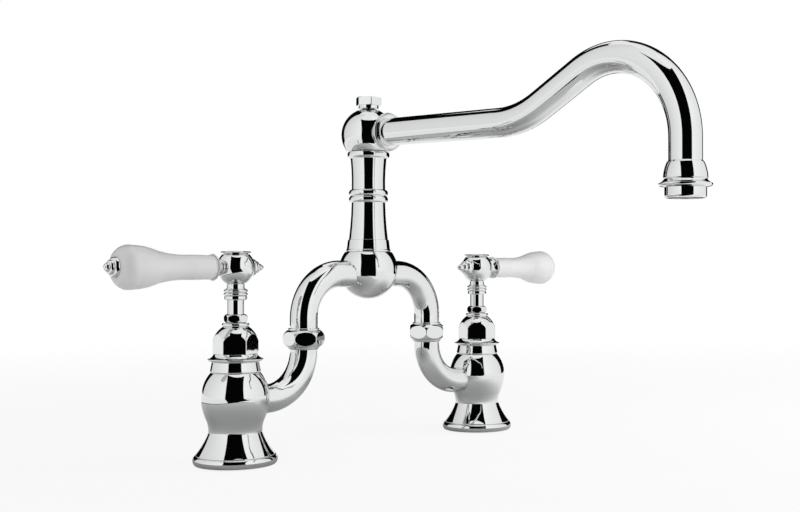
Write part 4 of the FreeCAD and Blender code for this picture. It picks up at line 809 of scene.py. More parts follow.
def show_nut(node, section, apothem, turns):
    for (label, side), turn in zip(SIDES, turns):
        nut = moved(milled(section(), apothem, turn), on_inlet(side))
        name = f"{label}_{node}"
        show(name + "_finished", nut, "bridge", "polished_chrome", name)
    print(node, len(nut.polygons), "faces each")


show_nut("bonnet_nut", bonnet_section, BONNET_CORNER * HEX, BONNET_TURNS)
show_nut("gland_nut", gland_section, GLAND_CORNER * HEX, GLAND_TURNS)

# %% [markdown]
# ## Spindle and stem collar
# The spindle runs from the ceramic discs up into the handle. Only 8 mm of it shows, between
# gland nut and stem collar, but it is drawn whole: a foot with a key, two grooves for seals,
# and a slim top that the handle sits on. The collar above is a ring with two beads.

# %% Spindles and stem collars
STEM_FOOT, STEM_TOP, STEM_STEPS = 96.4, 102.7, 64
spindle = Section(0, 34.35).line(6.8, 34.35).line(6.8, 36.25).line(4.8, 36.25)
for groove in (54, 62):
    low, high = groove - 1, groove + 1
    spindle.line(4.8, low).line(3.0, low).line(3.0, high).line(4.8, high)
spindle.line(4.8, STEM_TOP).line(3.8, STEM_TOP).line(3.8, 111.7).line(2.4, 111.7)
spindle.line(2.4, 107.4).line(0, 107.4)


def block(width, length, low, high, ease=0.2):
    """Rectangular key with its edges broken."""
    work = bmesh.new()
    place = Matrix.Translation((0, 0, (low + high) / 2 * MM))
    size = Matrix.Diagonal((width * MM, length * MM, (high - low) * MM, 1))
    bmesh.ops.create_cube(work, size=1, matrix=place @ size)
    bmesh.ops.bevel(work, geom=work.edges[:], offset=ease * MM, segments=2,
                    affect="EDGES", profile=0.5)
    mesh = bpy.data.meshes.new("block")
    work.to_mesh(mesh)
    work.free()
    mesh.materials.append(CHROME)
    return tidied(mesh)


key = block(3, 10, 33.15, 34.4)
show_pair("spindle", joined([turned(spindle, steps=STEM_STEPS), key]), None)
stem = Section(4.85, STEM_FOOT).line(6.0, STEM_FOOT).arc(6.6, 97.0, 0.15).line(6.6, 98.7)
stem.line(6.2, 98.7).arc(6.2, 100.7, 0.8).arc(6.2, STEM_TOP, 0.8).line(4.85, STEM_TOP)
stem.line(4.85, STEM_FOOT)
show_pair("stem_collar", turned(stem, steps=STEM_STEPS), None)

# %% [markdown]
# ## Handle hub and cap
# The hub is a ball on a short neck. Its two sides are milled flat for the lever and for the
# inner finial, and a domed cap closes the top over the screw.

# %% Handle hubs and caps
LEVER_HEIGHT, HUB_BALL, HUB_NECK = 115.6, 11.0, 5.1
HUB_FACE, ROD_BORE = 10, 2.55
neck_top = LEVER_HEIGHT - math.sqrt(HUB_BALL ** 2 - HUB_NECK ** 2)
hub = Section(3.85, STEM_TOP).line(5.7, STEM_TOP).line(5.7, 103.3).line(HUB_NECK, 103.3)
hub.line(HUB_NECK, neck_top).ball(LEVER_HEIGHT, 124).line(5.2, 124).line(5.2, 118.4)
hub.line(2.6, 118.4).line(2.6, 111.7).line(3.85, 111.7).line(3.85, STEM_TOP)
lever_cuts = []
for direction in (ALONG_LEVER, TOWARDS_BRIDGE):
    lever_cuts.append(cylinder(12, HUB_FACE, 14, laid(direction, LEVER_HEIGHT)))
    lever_cuts.append(cylinder(ROD_BORE, 6.2, 10.5, laid(direction, LEVER_HEIGHT)))
show_pair("handle_hub", turned(hub, cuts=lever_cuts), None)
cap = Section(0, 122).line(5.15, 122).line(5.15, 124).line(8.6, 124).line(9.0, 124.4)
show_pair("handle_cap", turned(cap.line(8.4, 125.0).dome(125.3)), None)

# %% [markdown]
# ## Lever: ferrule, porcelain grip and finials
# These are strung on one rod, so all are turned about the lever's own axis. They are drawn
# along +Z from the hub's centre and then laid along the lever. The grip swells towards its
# end. Both finials are stacks of thin coin edges that get smaller, with a rounded tip.

# %% Levers
def steps_up(section, base, steps):
    """Stepped cone: each step goes out to its foot radius and curves in to its end radius."""
    for foot, end, length in steps:
        section.line(foot, base).arc(end, base + length, 0.3)
        base += length
    return section


GRIP_FOOT, GRIP_END, FINIAL_STEPS = 15.05, 76.5, 72
ferrule = Section(ROD_BORE, HUB_FACE).line(4.2, HUB_FACE).arc(4.2, 11.8, 0.7)
ferrule.arc(7.7, 15.6, -0.7).arc(7.7, 16.2, 0.15).line(7.2, 16.2).line(7.2, GRIP_FOOT)
ferrule.line(ROD_BORE, GRIP_FOOT).line(ROD_BORE, HUB_FACE)
grip = Section(2.7, GRIP_FOOT, ease=0.3).line(7.0, GRIP_FOOT).line(7.0, 16.2).line(7.25, 30)
grip.arc(9.4, 52, -0.9).arc(12.3, 67, 0.7).arc(6.8, GRIP_END, 2.1).line(2.7, GRIP_END)
grip.line(2.7, GRIP_FOOT)
end_finial = steps_up(Section(ROD_BORE, GRIP_END), GRIP_END,
                      ((5.9, 4.7, 2.2), (4.1, 3.2, 1.9), (2.5, 1.5, 1.9)))
end_finial.dome(83.3).line(0, 79.7).line(ROD_BORE, 79.7).line(ROD_BORE, GRIP_END)
inner_finial = steps_up(Section(0, 6.2).line(2.5, 6.2).line(2.5, HUB_FACE), HUB_FACE,
                        ((5.4, 4.4, 2.7), (3.9, 3.0, 2.5), (2.3, 1.2, 3.2))).dome(19.2)
outwards, inwards = laid(ALONG_LEVER, LEVER_HEIGHT), laid(TOWARDS_BRIDGE, LEVER_HEIGHT)
show_pair("lever_ferrule", moved(turned(ferrule), outwards), None)
show_pair("lever_grip", moved(turned(grip, PORCELAIN), outwards), None, "white_porcelain")
show_pair("lever_end_finial", moved(turned(end_finial, steps=FINIAL_STEPS), outwards), None)
show_pair("hub_finial", moved(turned(inner_finial, steps=FINIAL_STEPS), inwards), None)

# %% [markdown]
# ## The tube bender
# The arms and the spout are bent tube: a circle that follows a path with rounded corners.
# That is Geometry Nodes' own ground. The path is a chain of points, each with its bend
# radius as an attribute. Fillet Curve rounds the corners, Resample Curve sets an even step so
# that the shading stays even, and Curve to Mesh draws the skin. Solidify then gives the
# wall, inwards, so the outer size stays the drawn one.

# %% Tube bender
TUBE_STEP, BEND_DETAIL, TUBE_SIDES = 1.6 * MM, 48, 72
BENDER, given = new_tree("Tube bender", [("Tube radius", "Float"), ("Step", "Float"),
                                         ("Bend steps", "Int"), ("Steps round", "Int"),
                                         ("Material", "Material")])
bend = add(BENDER, "GeometryNodeInputNamedAttribute", values={"Name": "bend"}, data_type="FLOAT")
route = add(BENDER, "GeometryNodeMeshToCurve", {"Mesh": given["Geometry"]})
rounded = add(BENDER, "GeometryNodeFilletCurve",
              {"Curve": route.outputs["Curve"], "Count": given["Bend steps"],
               "Radius": bend.outputs["Attribute"]}, mode="POLY")
even = add(BENDER, "GeometryNodeResampleCurve",
           {"Curve": rounded.outputs["Curve"], "Length": given["Step"]}, mode="LENGTH")
tube_circle = add(BENDER, "GeometryNodeCurvePrimitiveCircle",
                  {"Radius": given["Tube radius"], "Resolution": given["Steps round"]})
tube_skin = add(BENDER, "GeometryNodeCurveToMesh",
                {"Curve": even.outputs["Curve"], "Profile Curve": tube_circle.outputs["Curve"]})
close_tree(BENDER, tube_skin.outputs["Mesh"], given["Material"])
print("bender nodes:", len(BENDER.nodes))


# %% Bend a tube
def faces_in(skin, start):
    """True where the skin's first face looks towards the start of the route."""
    face = min(skin.polygons, key=lambda f: (f.center - start).length)
    return face.normal.dot(face.center - start) < 0


def bent_tube(route_points, radius, bore):
    """Tube along (x, y, z, bend radius) points in mm."""
    places = [Vector(point[:3]) * MM for point in route_points]
    path = bpy.data.meshes.new("route")
    path.from_pydata(places, [(i, i + 1) for i in range(len(places) - 1)], [])
    bends = path.attributes.new("bend", "FLOAT", "POINT")
    bends.data.foreach_set("value", [point[3] * MM for point in route_points])
    skin = tidied(bake(path, BENDER, {"Tube radius": radius * MM, "Step": TUBE_STEP,
                                      "Bend steps": BEND_DETAIL, "Steps round": TUBE_SIDES,
                                      "Material": CHROME}))
    if faces_in(skin, places[0]):
        skin.flip_normals()
    wall = {"thickness": (radius - bore) * MM, "offset": -1.0, "use_even_offset": True}
    return tidied(bake(skin, modifiers=[("SOLIDIFY", wall)]), outwards=False)


trial = bent_tube([(0, 0, 0, 0), (30, 0, 0, 15), (30, 0, 30, 0)], 5, 4)
print("a trial bend:", len(trial.polygons), "faces")

# %% [markdown]
# ## Lower and upper elbows
# Each arm of the bridge is two bent tubes. The lower one leaves the bulb level and turns up
# into the union, where a rim holds it. The upper one rises from the union and turns in to
# the ball. Right and left are the same piece, turned half round.

# %% Elbows
UNION_X, UNION_HEIGHT, BRIDGE_HEIGHT, BEND_RADIUS = 52.1, 71.6, 111.5, 27.5


def on_arm(side):
    return HALF_TURN if side == LEFT else Matrix.Identity(4)


def at_union(mesh):
    return moved(mesh, Matrix.Translation((UNION_X * MM, 0, UNION_HEIGHT * MM)))


lower = bent_tube([(88.3, 0, PORT_HEIGHT, 0), (UNION_X, 0, PORT_HEIGHT, BEND_RADIUS),
                   (UNION_X, 0, UNION_HEIGHT - 0.2, 0)], ARM_RADIUS, ARM_BORE)
rim = Section(ARM_BORE, -6.7).line(ARM_RADIUS, -6.7).arc(9.9, -5.2, 0.3).line(9.3, -5.2)
rim.line(9.3, 0).line(ARM_BORE, 0)
upper = bent_tube([(UNION_X, 0, UNION_HEIGHT + 1, 0), (UNION_X, 0, BRIDGE_HEIGHT, BEND_RADIUS),
                   (12, 0, BRIDGE_HEIGHT, 0)], ARM_RADIUS, ARM_BORE)
flange = Section(ARM_BORE, 1).line(9.2, 1).line(9.2, 2.8).line(ARM_BORE, 2.8)
for node, parts in (("lower_elbow", [lower, at_union(turned(rim))]),
                    ("upper_elbow", [upper, at_union(turned(flange))])):
    for label, side in SIDES:
        arm = moved(joined(parts), on_arm(side))
        show(f"{label}_{node}_finished", arm, "bridge", "polished_chrome", f"{label}_{node}")
    print(node, len(arm.polygons), "faces each")

# %% [markdown]
# ## Union nuts
# A barrel nut with six oval flats draws the two tubes together. Its low neck is a plain ring.

# %% Union nuts
UNION_CORNER, UNION_BARREL, UNION_HALF, UNION_TURNS = 13, 6.06, 5.2, (31, 73.1)
end, bow = barrel(UNION_CORNER, UNION_BARREL, -UNION_HALF, UNION_HALF)
union = Section(9.35, -UNION_HALF).line(end, -UNION_HALF).arc(end, UNION_HALF, bow)
union.line(9.5, UNION_HALF).arc(9.2, 6.5, 0.3).line(8.65, 6.5).line(8.65, 2.8)
union.line(9.35, 2.8).line(9.35, -UNION_HALF)
for (label, side), turn in zip(SIDES, UNION_TURNS):
    nut = moved(at_union(milled(union, UNION_CORNER * HEX, turn)), on_arm(side))
    name = f"{label}_union_nut"
    show(name + "_finished", nut, "bridge", "polished_chrome", name)
print("union nuts:", len(nut.polygons), "faces each, barrel bow", round(bow, 2), "mm")

# %% [markdown]
# ## Bridge ball, pillar and swivel ring
# Both arms end in one ball. The pillar stands on it, with a collar at its foot and two beads
# half way up, and the swivel ring lies on top.

# %% Centre pieces
FINE_STEPS = 120
PILLAR_FOOT, BALL_TOP, COLLAR_END, PILLAR_TOP, RING_TOP = 119.2, 125.7, 133.7, 187.4, 191.2
ball = Section(0, 95.1).ball(114.2, BALL_TOP).line(9.25, BALL_TOP).line(9.25, PILLAR_FOOT)
ball.line(7, PILLAR_FOOT).line(7, BRIDGE_HEIGHT).line(0, BRIDGE_HEIGHT)
ball_cuts = []
for direction in (ALONG_LEVER, TOWARDS_BRIDGE):
    # a degree of twist keeps the drills' points off the flat bottom of the upright bore
    drill = laid(direction, BRIDGE_HEIGHT) @ Matrix.Rotation(math.radians(1), 4, "Z")
    ball_cuts += [cylinder(SOCKET_RADIUS, 12, 19.5, drill), cylinder(ARM_BORE, 0.5, 12.2, drill)]
foot = Section(9.25, BALL_TOP).line(14.1, BALL_TOP).arc(14.1, 127.5, 0.45)
foot.line(13.3, COLLAR_END).line(9.25, COLLAR_END)
pillar = Section(7, PILLAR_FOOT).line(9.2, PILLAR_FOOT).line(9.2, COLLAR_END)
pillar.line(12.7, COLLAR_END).arc(10.9, 158.1, -0.35).line(11.7, 158.1).arc(11.7, 162.2, 1.0)
pillar.arc(11.7, 166.3, 1.0).line(10.9, 166.3).arc(11.6, 186.1, -0.35)
pillar.arc(12.4, PILLAR_TOP, -0.25).line(8.05, PILLAR_TOP).line(8.05, 175.4).line(7, 175.4)
pillar.line(7, PILLAR_FOOT)
ring = Section(8.05, PILLAR_TOP).line(13.05, PILLAR_TOP).arc(13.65, 189.3, 0.2)
ring.arc(13.05, RING_TOP, 0.2).line(8.05, RING_TOP).line(8.05, PILLAR_TOP)
for node, section, cuts in (("bridge_ball", ball, ball_cuts), ("pillar_collar", foot, ()),
                            ("pillar", pillar, ()), ("swivel_ring", ring, ())):
    mesh = turned(section, steps=FINE_STEPS, cuts=cuts)
    show(node + "_finished", mesh, "bridge", "polished_chrome", node)
    print(node, len(mesh.polygons), "faces")

# %% [markdown]
# ## Finial screw
# A hexagonal screw on a round neck holds the spout down. It stays with the bridge when the
# spout swings.

# %% Finial screw
SCREW_CORNER, SCREW_TURN, SCREW_TOP = 8.6, 58.2, 226.9
screw = Section(0, 208.1).line(3.45, 208.1).line(3.45, 219.5).line(6.5, 219.5).line(6.5, 221.6)
screw.line(8.1, 221.6).line(8.48, 222.1).line(8.48, 226.4).line(7.6, SCREW_TOP)
screw = milled(screw.line(0, SCREW_TOP), SCREW_CORNER * HEX, SCREW_TURN)
show("finial_screw_finished", screw, "bridge", "polished_chrome", "finial_screw")
print("finial screw top at", SCREW_TOP, "mm")

# %% [markdown]
# ## Spout hub and collar
# The hub is a ball bored for the post. It is faced off square to the spout, which leaves it
# with a slight droop of 1.6 degrees. The collar covers that joint and flares like a trumpet.

# %% Spout hub and collar
RUN_HEIGHT, DROOP = 203.4, math.radians(1.6)
HUB_FOOT, HUB_MIDDLE, HUB_RADIUS, HUB_TOP = 191.5, 202.2, 17.6, 219.2
HUB_FACED, TUBE_START, TUBE_SOCKET = 15, 10.4, 8.75
SPOUT_RADIUS, SPOUT_BORE = 8.7, 7.2
along_spout = Vector((0, -math.cos(DROOP), -math.sin(DROOP)))
on_run = laid(along_spout, RUN_HEIGHT)
foot_radius = math.sqrt(HUB_RADIUS ** 2 - (HUB_MIDDLE - HUB_FOOT) ** 2)
hub_ball = Section(11.05, HUB_FOOT).line(foot_radius, HUB_FOOT).ball(HUB_MIDDLE, HUB_TOP)
hub_ball.line(3.7, HUB_TOP).line(3.7, 214.7).line(9.06, 214.7).line(9.06, 193.85)
hub_ball.line(11.05, 193.85).line(11.05, HUB_FOOT)
hub_cuts = (cylinder(20, HUB_FACED, 25, on_run),
            cylinder(TUBE_SOCKET, TUBE_START, HUB_FACED + 0.5, on_run),
            cylinder(SPOUT_BORE, 3, TUBE_START + 0.2, on_run))
spout_hub = turned(hub_ball, steps=FINE_STEPS, cuts=hub_cuts)
show("spout_hub_finished", spout_hub, "spout", "polished_chrome", "spout_hub")
trumpet = Section(TUBE_SOCKET, HUB_FACED).line(9.4, HUB_FACED).arc(12.2, 19.5, -0.6)
trumpet.arc(12.0, 20.5, 0.2).arc(TUBE_SOCKET, 19.2, -0.4).line(TUBE_SOCKET, HUB_FACED)
trumpet = moved(turned(trumpet), on_run)
show("spout_collar_finished", trumpet, "spout", "polished_chrome", "spout_collar")
print("hub faced off", HUB_FACED, "mm along the run")

# %% [markdown]
# ## Spout
# One long tube: out from the hub, a gentle bend up, and a crook over the top that drops
# straight down. Four points and two bend radii say it all.

# %% Spout tube
BEND_AT, REACH, TUBE_END, SLOPE = 134.9, 247.0, 164.0, math.radians(27.5)
GENTLE_BEND, CROOK_BEND = 66.0, 46.4
bend_height = RUN_HEIGHT - BEND_AT * math.tan(DROOP)
crook_height = bend_height + (REACH - BEND_AT) * math.tan(SLOPE)
spout_route = [(*(along_spout * TUBE_START + Vector((0, 0, RUN_HEIGHT))), 0),
               (0, -BEND_AT, bend_height, GENTLE_BEND),
               (0, -REACH, crook_height, CROOK_BEND), (0, -REACH, TUBE_END, 0)]
spout = bent_tube(spout_route, SPOUT_RADIUS, SPOUT_BORE)
show("spout_tube_finished", spout, "spout", "polished_chrome", "spout_tube")
print("spout", len(spout.polygons), "faces, highest point",
      round(max(v.co.z for v in spout.vertices) / MM, 1), "mm")

# %% [markdown]
# ## Outlet bell and aerator
# The bell is brazed on the spout's end and has two mouldings. The aerator shell screws into
# it from below, and holds an insert with a barred screen that evens out the water.

# %% Outlet bell and aerator shell
outlet = Matrix.Translation((0, -REACH * MM, 0))
bell = Section(TUBE_SOCKET, TUBE_END).line(TUBE_SOCKET, 169.6).line(8.9, 169.6)
bell.line(9.6, 168.7).arc(11.4, 160.8, -0.4).line(10.9, 160.3).arc(13.7, 158.1, 0.35)
bell.arc(13.1, 156.7, -0.25).line(10.7, 156.1).line(9.65, 156.1).line(9.65, 160.5)
bell.line(SPOUT_BORE, 160.5).line(SPOUT_BORE, TUBE_END).line(TUBE_SOCKET, TUBE_END)
shell = Section(7.4, 150.6).line(9.4, 150.6).arc(10.7, 151.9, 0.35).line(10.7, 156.1)
shell.line(9.55, 156.1).line(9.55, 158.1).line(8.2, 158.1).line(8.2, 152).line(7.4, 152)
shell.line(7.4, 150.6)
for node, section in (("outlet_bell", bell), ("aerator_shell", shell)):
    mesh = moved(turned(section), outlet)
    show(node + "_finished", mesh, "spout", "polished_chrome", node)
    print(node, len(mesh.polygons), "faces")

# %% [markdown]
# ## Aerator screen
# The screen is a lattice: the same bar again and again at one pitch, each as long as the
# round opening lets it be. So the tree places a bar on each point of a line, sets its length
# from the circle, and does that twice, the second time turned a quarter.

# %% Barred screen tree
SCREEN, given = new_tree("Barred screen", [("Reach", "Float"), ("Pitch", "Float"),
                                           ("Bar width", "Float"), ("Thickness", "Float"),
                                           ("Bars", "Int"), ("Material", "Material")])
gaps = add(SCREEN, "ShaderNodeMath", {0: given["Bars"]}, {1: 1.0}, operation="SUBTRACT")
spread = add(SCREEN, "ShaderNodeMath", {0: gaps.outputs[0], 1: given["Pitch"]},
             operation="MULTIPLY")
first = add(SCREEN, "ShaderNodeMath", {0: spread.outputs[0]}, {1: -0.5}, operation="MULTIPLY")
start = add(SCREEN, "ShaderNodeCombineXYZ", {"X": first.outputs[0]})
stride = add(SCREEN, "ShaderNodeCombineXYZ", {"X": given["Pitch"]})
row = add(SCREEN, "GeometryNodeMeshLine",
          {"Count": given["Bars"], "Start Location": start.outputs[0],
           "Offset": stride.outputs[0]}, mode="OFFSET")
place = add(SCREEN, "GeometryNodeInputPosition")
across = add(SCREEN, "ShaderNodeSeparateXYZ", {"Vector": place.outputs[0]}).outputs["X"]
squared = add(SCREEN, "ShaderNodeMath", {0: across, 1: across}, operation="MULTIPLY")
reach_squared = add(SCREEN, "ShaderNodeMath", {0: given["Reach"], 1: given["Reach"]},
                    operation="MULTIPLY")
left = add(SCREEN, "ShaderNodeMath", {0: reach_squared.outputs[0], 1: squared.outputs[0]},
           operation="SUBTRACT")
half_chord = add(SCREEN, "ShaderNodeMath", {0: left.outputs[0]}, operation="SQRT")
chord = add(SCREEN, "ShaderNodeMath", {0: half_chord.outputs[0]}, {1: 2.0},
            operation="MULTIPLY")
bar_size = add(SCREEN, "ShaderNodeCombineXYZ", {"X": given["Bar width"], "Y": chord.outputs[0],
                                                "Z": given["Thickness"]})
bar = add(SCREEN, "GeometryNodeMeshCube")
bars = add(SCREEN, "GeometryNodeInstanceOnPoints",
           {"Points": row.outputs["Mesh"], "Instance": bar.outputs["Mesh"],
            "Scale": bar_size.outputs[0]})
quarter = add(SCREEN, "GeometryNodeTransform", {"Geometry": bars.outputs["Instances"]},
              {"Rotation": (0, 0, math.pi / 2)})
lattice = add(SCREEN, "GeometryNodeJoinGeometry", {"Geometry": bars.outputs["Instances"]})
SCREEN.links.new(quarter.outputs["Geometry"], lattice.inputs["Geometry"])
close_tree(SCREEN, lattice.outputs["Geometry"], given["Material"])
print("screen nodes:", len(SCREEN.nodes))

# %% Aerator insert
BARS = 5
screen = bake(bpy.data.meshes.new("none"), SCREEN,
              {"Reach": 7.7 * MM, "Pitch": 2.6 * MM, "Bar width": 0.9 * MM,
               "Thickness": 1.0 * MM, "Bars": BARS, "Material": ACETAL})
screen.shade_flat()
screen = moved(screen, Matrix.Translation((0, 0, 152.5 * MM)))
cup = Section(6.95, 152).line(8.15, 152).line(8.15, 158.1).line(9.55, 158.1).line(9.55, 159.3)
cup.line(6.95, 159.3).line(6.95, 152)
insert = moved(joined([turned(cup, ACETAL), screen]), outlet)
show("aerator_insert_finished", insert, "spout", "white_acetal", "aerator_insert")
print("screen of", BARS, "by", BARS, "bars,", len(screen.polygons), "faces")

# %% [markdown]
# ## Pieces that keep their CAD mesh
# What is out of sight keeps the frame's own mesh, since its shape is already right, and takes
# the material of what it is made of.

# %% Hidden pieces
FINISH_OF = {"black_rubber": RUBBER, "turned_brass": BRASS, "steel_rod": STEEL,
             "alumina_ceramic": CERAMIC, "white_acetal": ACETAL, "polished_chrome": CHROME,
             "white_porcelain": PORCELAIN}
kept = 0
for part in frame["record"]["subparts"]:
    cad = nodes[part["node"]]
    if cad.hide_render:
        continue
    cad.data.materials.clear()
    cad.data.materials.append(FINISH_OF[part["material_slot"]])
    kept += 1
print("CAD nodes kept:", kept)

# %% [markdown]
# ## Floor
# The floor is plain and pale. Near the faucet a seventh of it is its own paint, which takes the
# shadow. The rest shows as white to the camera and in mirrors, and further out all of it does,
# so that the background is white without any more light on the faucet.

# %% Floor material
VIEW_FROM = Vector((-0.4827, -0.5709, 0.1149))
TO_CAMERA = math.degrees(math.atan2(VIEW_FROM.y, VIEW_FROM.x))


def seen_directly(tree):
    """1 for rays from the camera, from a mirror or through glass, else 0."""
    rays = add(tree, "ShaderNodeLightPath").outputs
    seen = add(tree, "ShaderNodeMath", {0: rays["Is Camera Ray"], 1: rays["Is Glossy Ray"]},
               operation="ADD")
    return add(tree, "ShaderNodeMath", {0: seen.outputs[0], 1: rays["Is Transmission Ray"]},
               operation="ADD", use_clamp=True).outputs[0]


def floor_material():
    material, tree = new_material("studio floor, matt painted")
    where = add(tree, "ShaderNodeNewGeometry").outputs["Position"]
    mottle = add(tree, "ShaderNodeTexNoise", {"Vector": where}, {"Scale": 9.0, "Detail": 3.0})
    tint = add(tree, "ShaderNodeMix", {"Factor": mottle.outputs["Fac"]}, data_type="RGBA")
    tint.inputs[6].default_value = colour("F8F8F8")
    tint.inputs[7].default_value = colour("FCFCFC")
    paint = add(tree, "ShaderNodeBsdfDiffuse", {"Color": tint.outputs[2]})
    white = add(tree, "ShaderNodeEmission", values={"Color": colour("FFFFFF"), "Strength": 1.0})
    away = add(tree, "ShaderNodeVectorMath", {0: where}, operation="LENGTH")
    fade = add(tree, "ShaderNodeMapRange", {"Value": away.outputs["Value"]},
               {"From Min": 0.2, "From Max": 1.2, "To Min": 0.85, "To Max": 1.0},
               interpolation_type="SMOOTHSTEP")
    share = add(tree, "ShaderNodeMath", {0: seen_directly(tree), 1: fade.outputs["Result"]},
                operation="MULTIPLY")
    mix = add(tree, "ShaderNodeMixShader",
              {"Fac": share.outputs[0], 1: paint.outputs[0], 2: white.outputs[0]})
    add(tree, "ShaderNodeOutputMaterial", {"Surface": mix.outputs[0]})
    return material


FLOOR_PAINT = floor_material()
print("camera azimuth", round(TO_CAMERA, 1), "degrees")


# %% Staging, and the floor
FLOOR_RADIUS, FLOOR_SIDES, FLOOR_HEIGHT = 3.0, 96, -0.0005


def stage_piece(name, points, faces, material, for_mirrors_only=True):
    """A floor or a card; one for mirrors only is hidden from the camera, with no shadow."""
    mesh = bpy.data.meshes.new(name)
    mesh.from_pydata(points, [], faces)
    mesh.materials.append(material)
    thing = bpy.data.objects.new(name, mesh)
    bpy.context.scene.collection.objects.link(thing)
    if for_mirrors_only:
        thing.visible_camera = thing.visible_diffuse = thing.visible_shadow = False
    return thing


def polar(azimuth, elevation, radius):
    """Point in metres at an azimuth and elevation in degrees, seen from the origin."""
    a, e = math.radians(azimuth), math.radians(elevation)
    level = radius * math.cos(e)
    return level * math.cos(a), level * math.sin(a), radius * math.sin(e)


def on_floor(azimuth, radius, height):
    x, y, _ = polar(azimuth, 0, radius)
    return x, y, height


floor_rim = [on_floor(360 * i / FLOOR_SIDES, FLOOR_RADIUS, FLOOR_HEIGHT)
             for i in range(FLOOR_SIDES)]
stage_piece("floor", floor_rim, [list(range(FLOOR_SIDES))], FLOOR_PAINT, for_mirrors_only=False)
print("floor", 2 * FLOOR_RADIUS, "m across")

# %% [markdown]
# ## Cards for the chrome
# Chrome has no look of its own: it shows the room. In a white room it would vanish, so a
# studio hangs cards round it that only the mirrors see. Each card here is a grid of points
# with two attributes. Shade sets how bright a point is, as painted shade or a painted
# reflection, and cover thins it out to clear.

# %% Card material and card grid
def card_material(name, hex_value, glows=False):
    """Matt card, or one that glows with no lamp behind it, shaded and thinned out by the mesh's
    attributes.
    """
    material, tree = new_material(name)
    shade = add(tree, "ShaderNodeAttribute", attribute_name="shade").outputs["Fac"]
    cover = add(tree, "ShaderNodeAttribute", attribute_name="cover").outputs["Fac"]
    if glows:
        # a glowing card lights nothing and shows only in mirrors: a painted reflection
        surface = add(tree, "ShaderNodeEmission", {"Strength": shade},
                      {"Color": colour(hex_value)})
    else:
        tint = add(tree, "ShaderNodeVectorMath", {0: shade}, operation="MULTIPLY")
        tint.inputs[1].default_value = colour(hex_value)[:3]
        surface = add(tree, "ShaderNodeBsdfDiffuse", {"Color": tint.outputs["Vector"]})
    clear = add(tree, "ShaderNodeBsdfTransparent")
    mix = add(tree, "ShaderNodeMixShader",
              {"Fac": cover, 1: clear.outputs[0], 2: surface.outputs[0]})
    add(tree, "ShaderNodeOutputMaterial", {"Surface": mix.outputs[0]})
    return material


def full(point, u, v):
    return 1.0


def patch(name, material, place, shade=full, cover=full, across=24, upward=24):
    """Card as a grid; place gives the point for u from -1 to 1 across and v from 0 to 1 up."""
    grid = [(2 * j / across - 1, i / upward) for i in range(upward + 1) for j in range(across + 1)]
    points = [place(u, v) for u, v in grid]
    faces = []
    for i in range(upward):
        for j in range(across):
            a = i * (across + 1) + j
            faces.append((a, a + 1, a + across + 2, a + across + 1))
    card = stage_piece(name, points, faces, material)
    for label, rule in (("shade", shade), ("cover", cover)):
        values = [rule(Vector(point), u, v) for point, (u, v) in zip(points, grid)]
        card.data.attributes.new(label, "FLOAT", "POINT").data.foreach_set("value", values)
    print(name, len(faces), "faces")


BLACK_CARD = card_material("black velvet card", "080808")
# a grey card that carries painted shade, seen only in mirrors
PAINTED_SHADE_CARD = card_material("grey card, painted shade for mirrors", "FFFFFF")
# white silk that glows with no lamp: a painted reflection, seen only in mirrors
GLOWING_SILK = card_material("white silk, glowing, painted reflection", "FFFFFF", glows=True)
print("cards:", [m.name for m in (BLACK_CARD, PAINTED_SHADE_CARD, GLOWING_SILK)])

# %% [markdown]
# ## Black cards
# A tall black card at the camera gives each tube and ball its dark stripe, and it comes down
# to the floor, where the white table ends. A black arch behind the faucet, made of two posts
# and a lintel, draws the edges of every tube.

# %% Black cards
TABLE_RADIUS, CAMERA_CARD, ARCH = 0.25, 1.5, 1.6
BEHIND = TO_CAMERA + 180
RIGHT_POST, RIGHT_HALF = BEHIND - 39.7, 22.8


def camera_card(u, v):
    """Strip at the camera that keeps most of its width as it rises."""
    elevation = 64 * v
    share = (0.5 - 0.12 * v) / math.cos(math.radians(elevation))
    half = math.degrees(math.asin(min(1, share)))
    return polar(TO_CAMERA + half * u, elevation, CAMERA_CARD)


def table_end(u, v):
    radius = TABLE_RADIUS + (CAMERA_CARD - TABLE_RADIUS) * v
    return on_floor(TO_CAMERA + 30 * u, radius, 0.0012)


patch("camera_card", BLACK_CARD, camera_card)
patch("table_end", BLACK_CARD, table_end)
patch("left_edge_card", BLACK_CARD, lambda u, v: polar(BEHIND + 35 + 18 * u, 66 * v, ARCH))
patch("right_edge_card", BLACK_CARD,
      lambda u, v: polar(RIGHT_POST + RIGHT_HALF * u, 66 * v, ARCH))
patch("right_edge_foot", BLACK_CARD,
      lambda u, v: on_floor(RIGHT_POST + RIGHT_HALF * u, 0.85 + 0.75 * v, 0.001))
patch("top_edge_card", BLACK_CARD, lambda u, v: polar(BEHIND + 18 * u, 7 + 41 * v, ARCH))

# %% [markdown]
# ## Grey card of painted shade on the floor
# A round grey card under the faucet, seen only in the chrome, turns the lower half of each ball
# to a soft grey: a painted reflection of shade. It is painted darker close to each foot, as
# painted shade where the faucet keeps the light off it. Its left edge has a thin dark rim, and
# its right side thins out to clear, so there the grey fades.

# %% Grey card of painted shade
RIM_MIDDLE, RIM_HALF, RIM_WIDTH, RIM_TONE = 167, 88, 0.012, 0.12
LEVEL_EDGE = 0.175  # metres from the left foot to the card's edge on the camera's side


def ease_in(value, low, high):
    """Smooth step from 0 at low to 1 at high."""
    t = min(1.0, max(0.0, (value - low) / (high - low)))
    return t * t * (3 - 2 * t)


def painted_foot_shade(point, u, v):
    # painted shade: the card is darker near each foot, where the faucet keeps the light off the
    # floor
    near = min((point - Vector((side * INLET_X, 0, 0))).length for side in (LEFT, RIGHT))
    return 0.52 + 0.33 * ease_in(near, 0.03, 0.18)


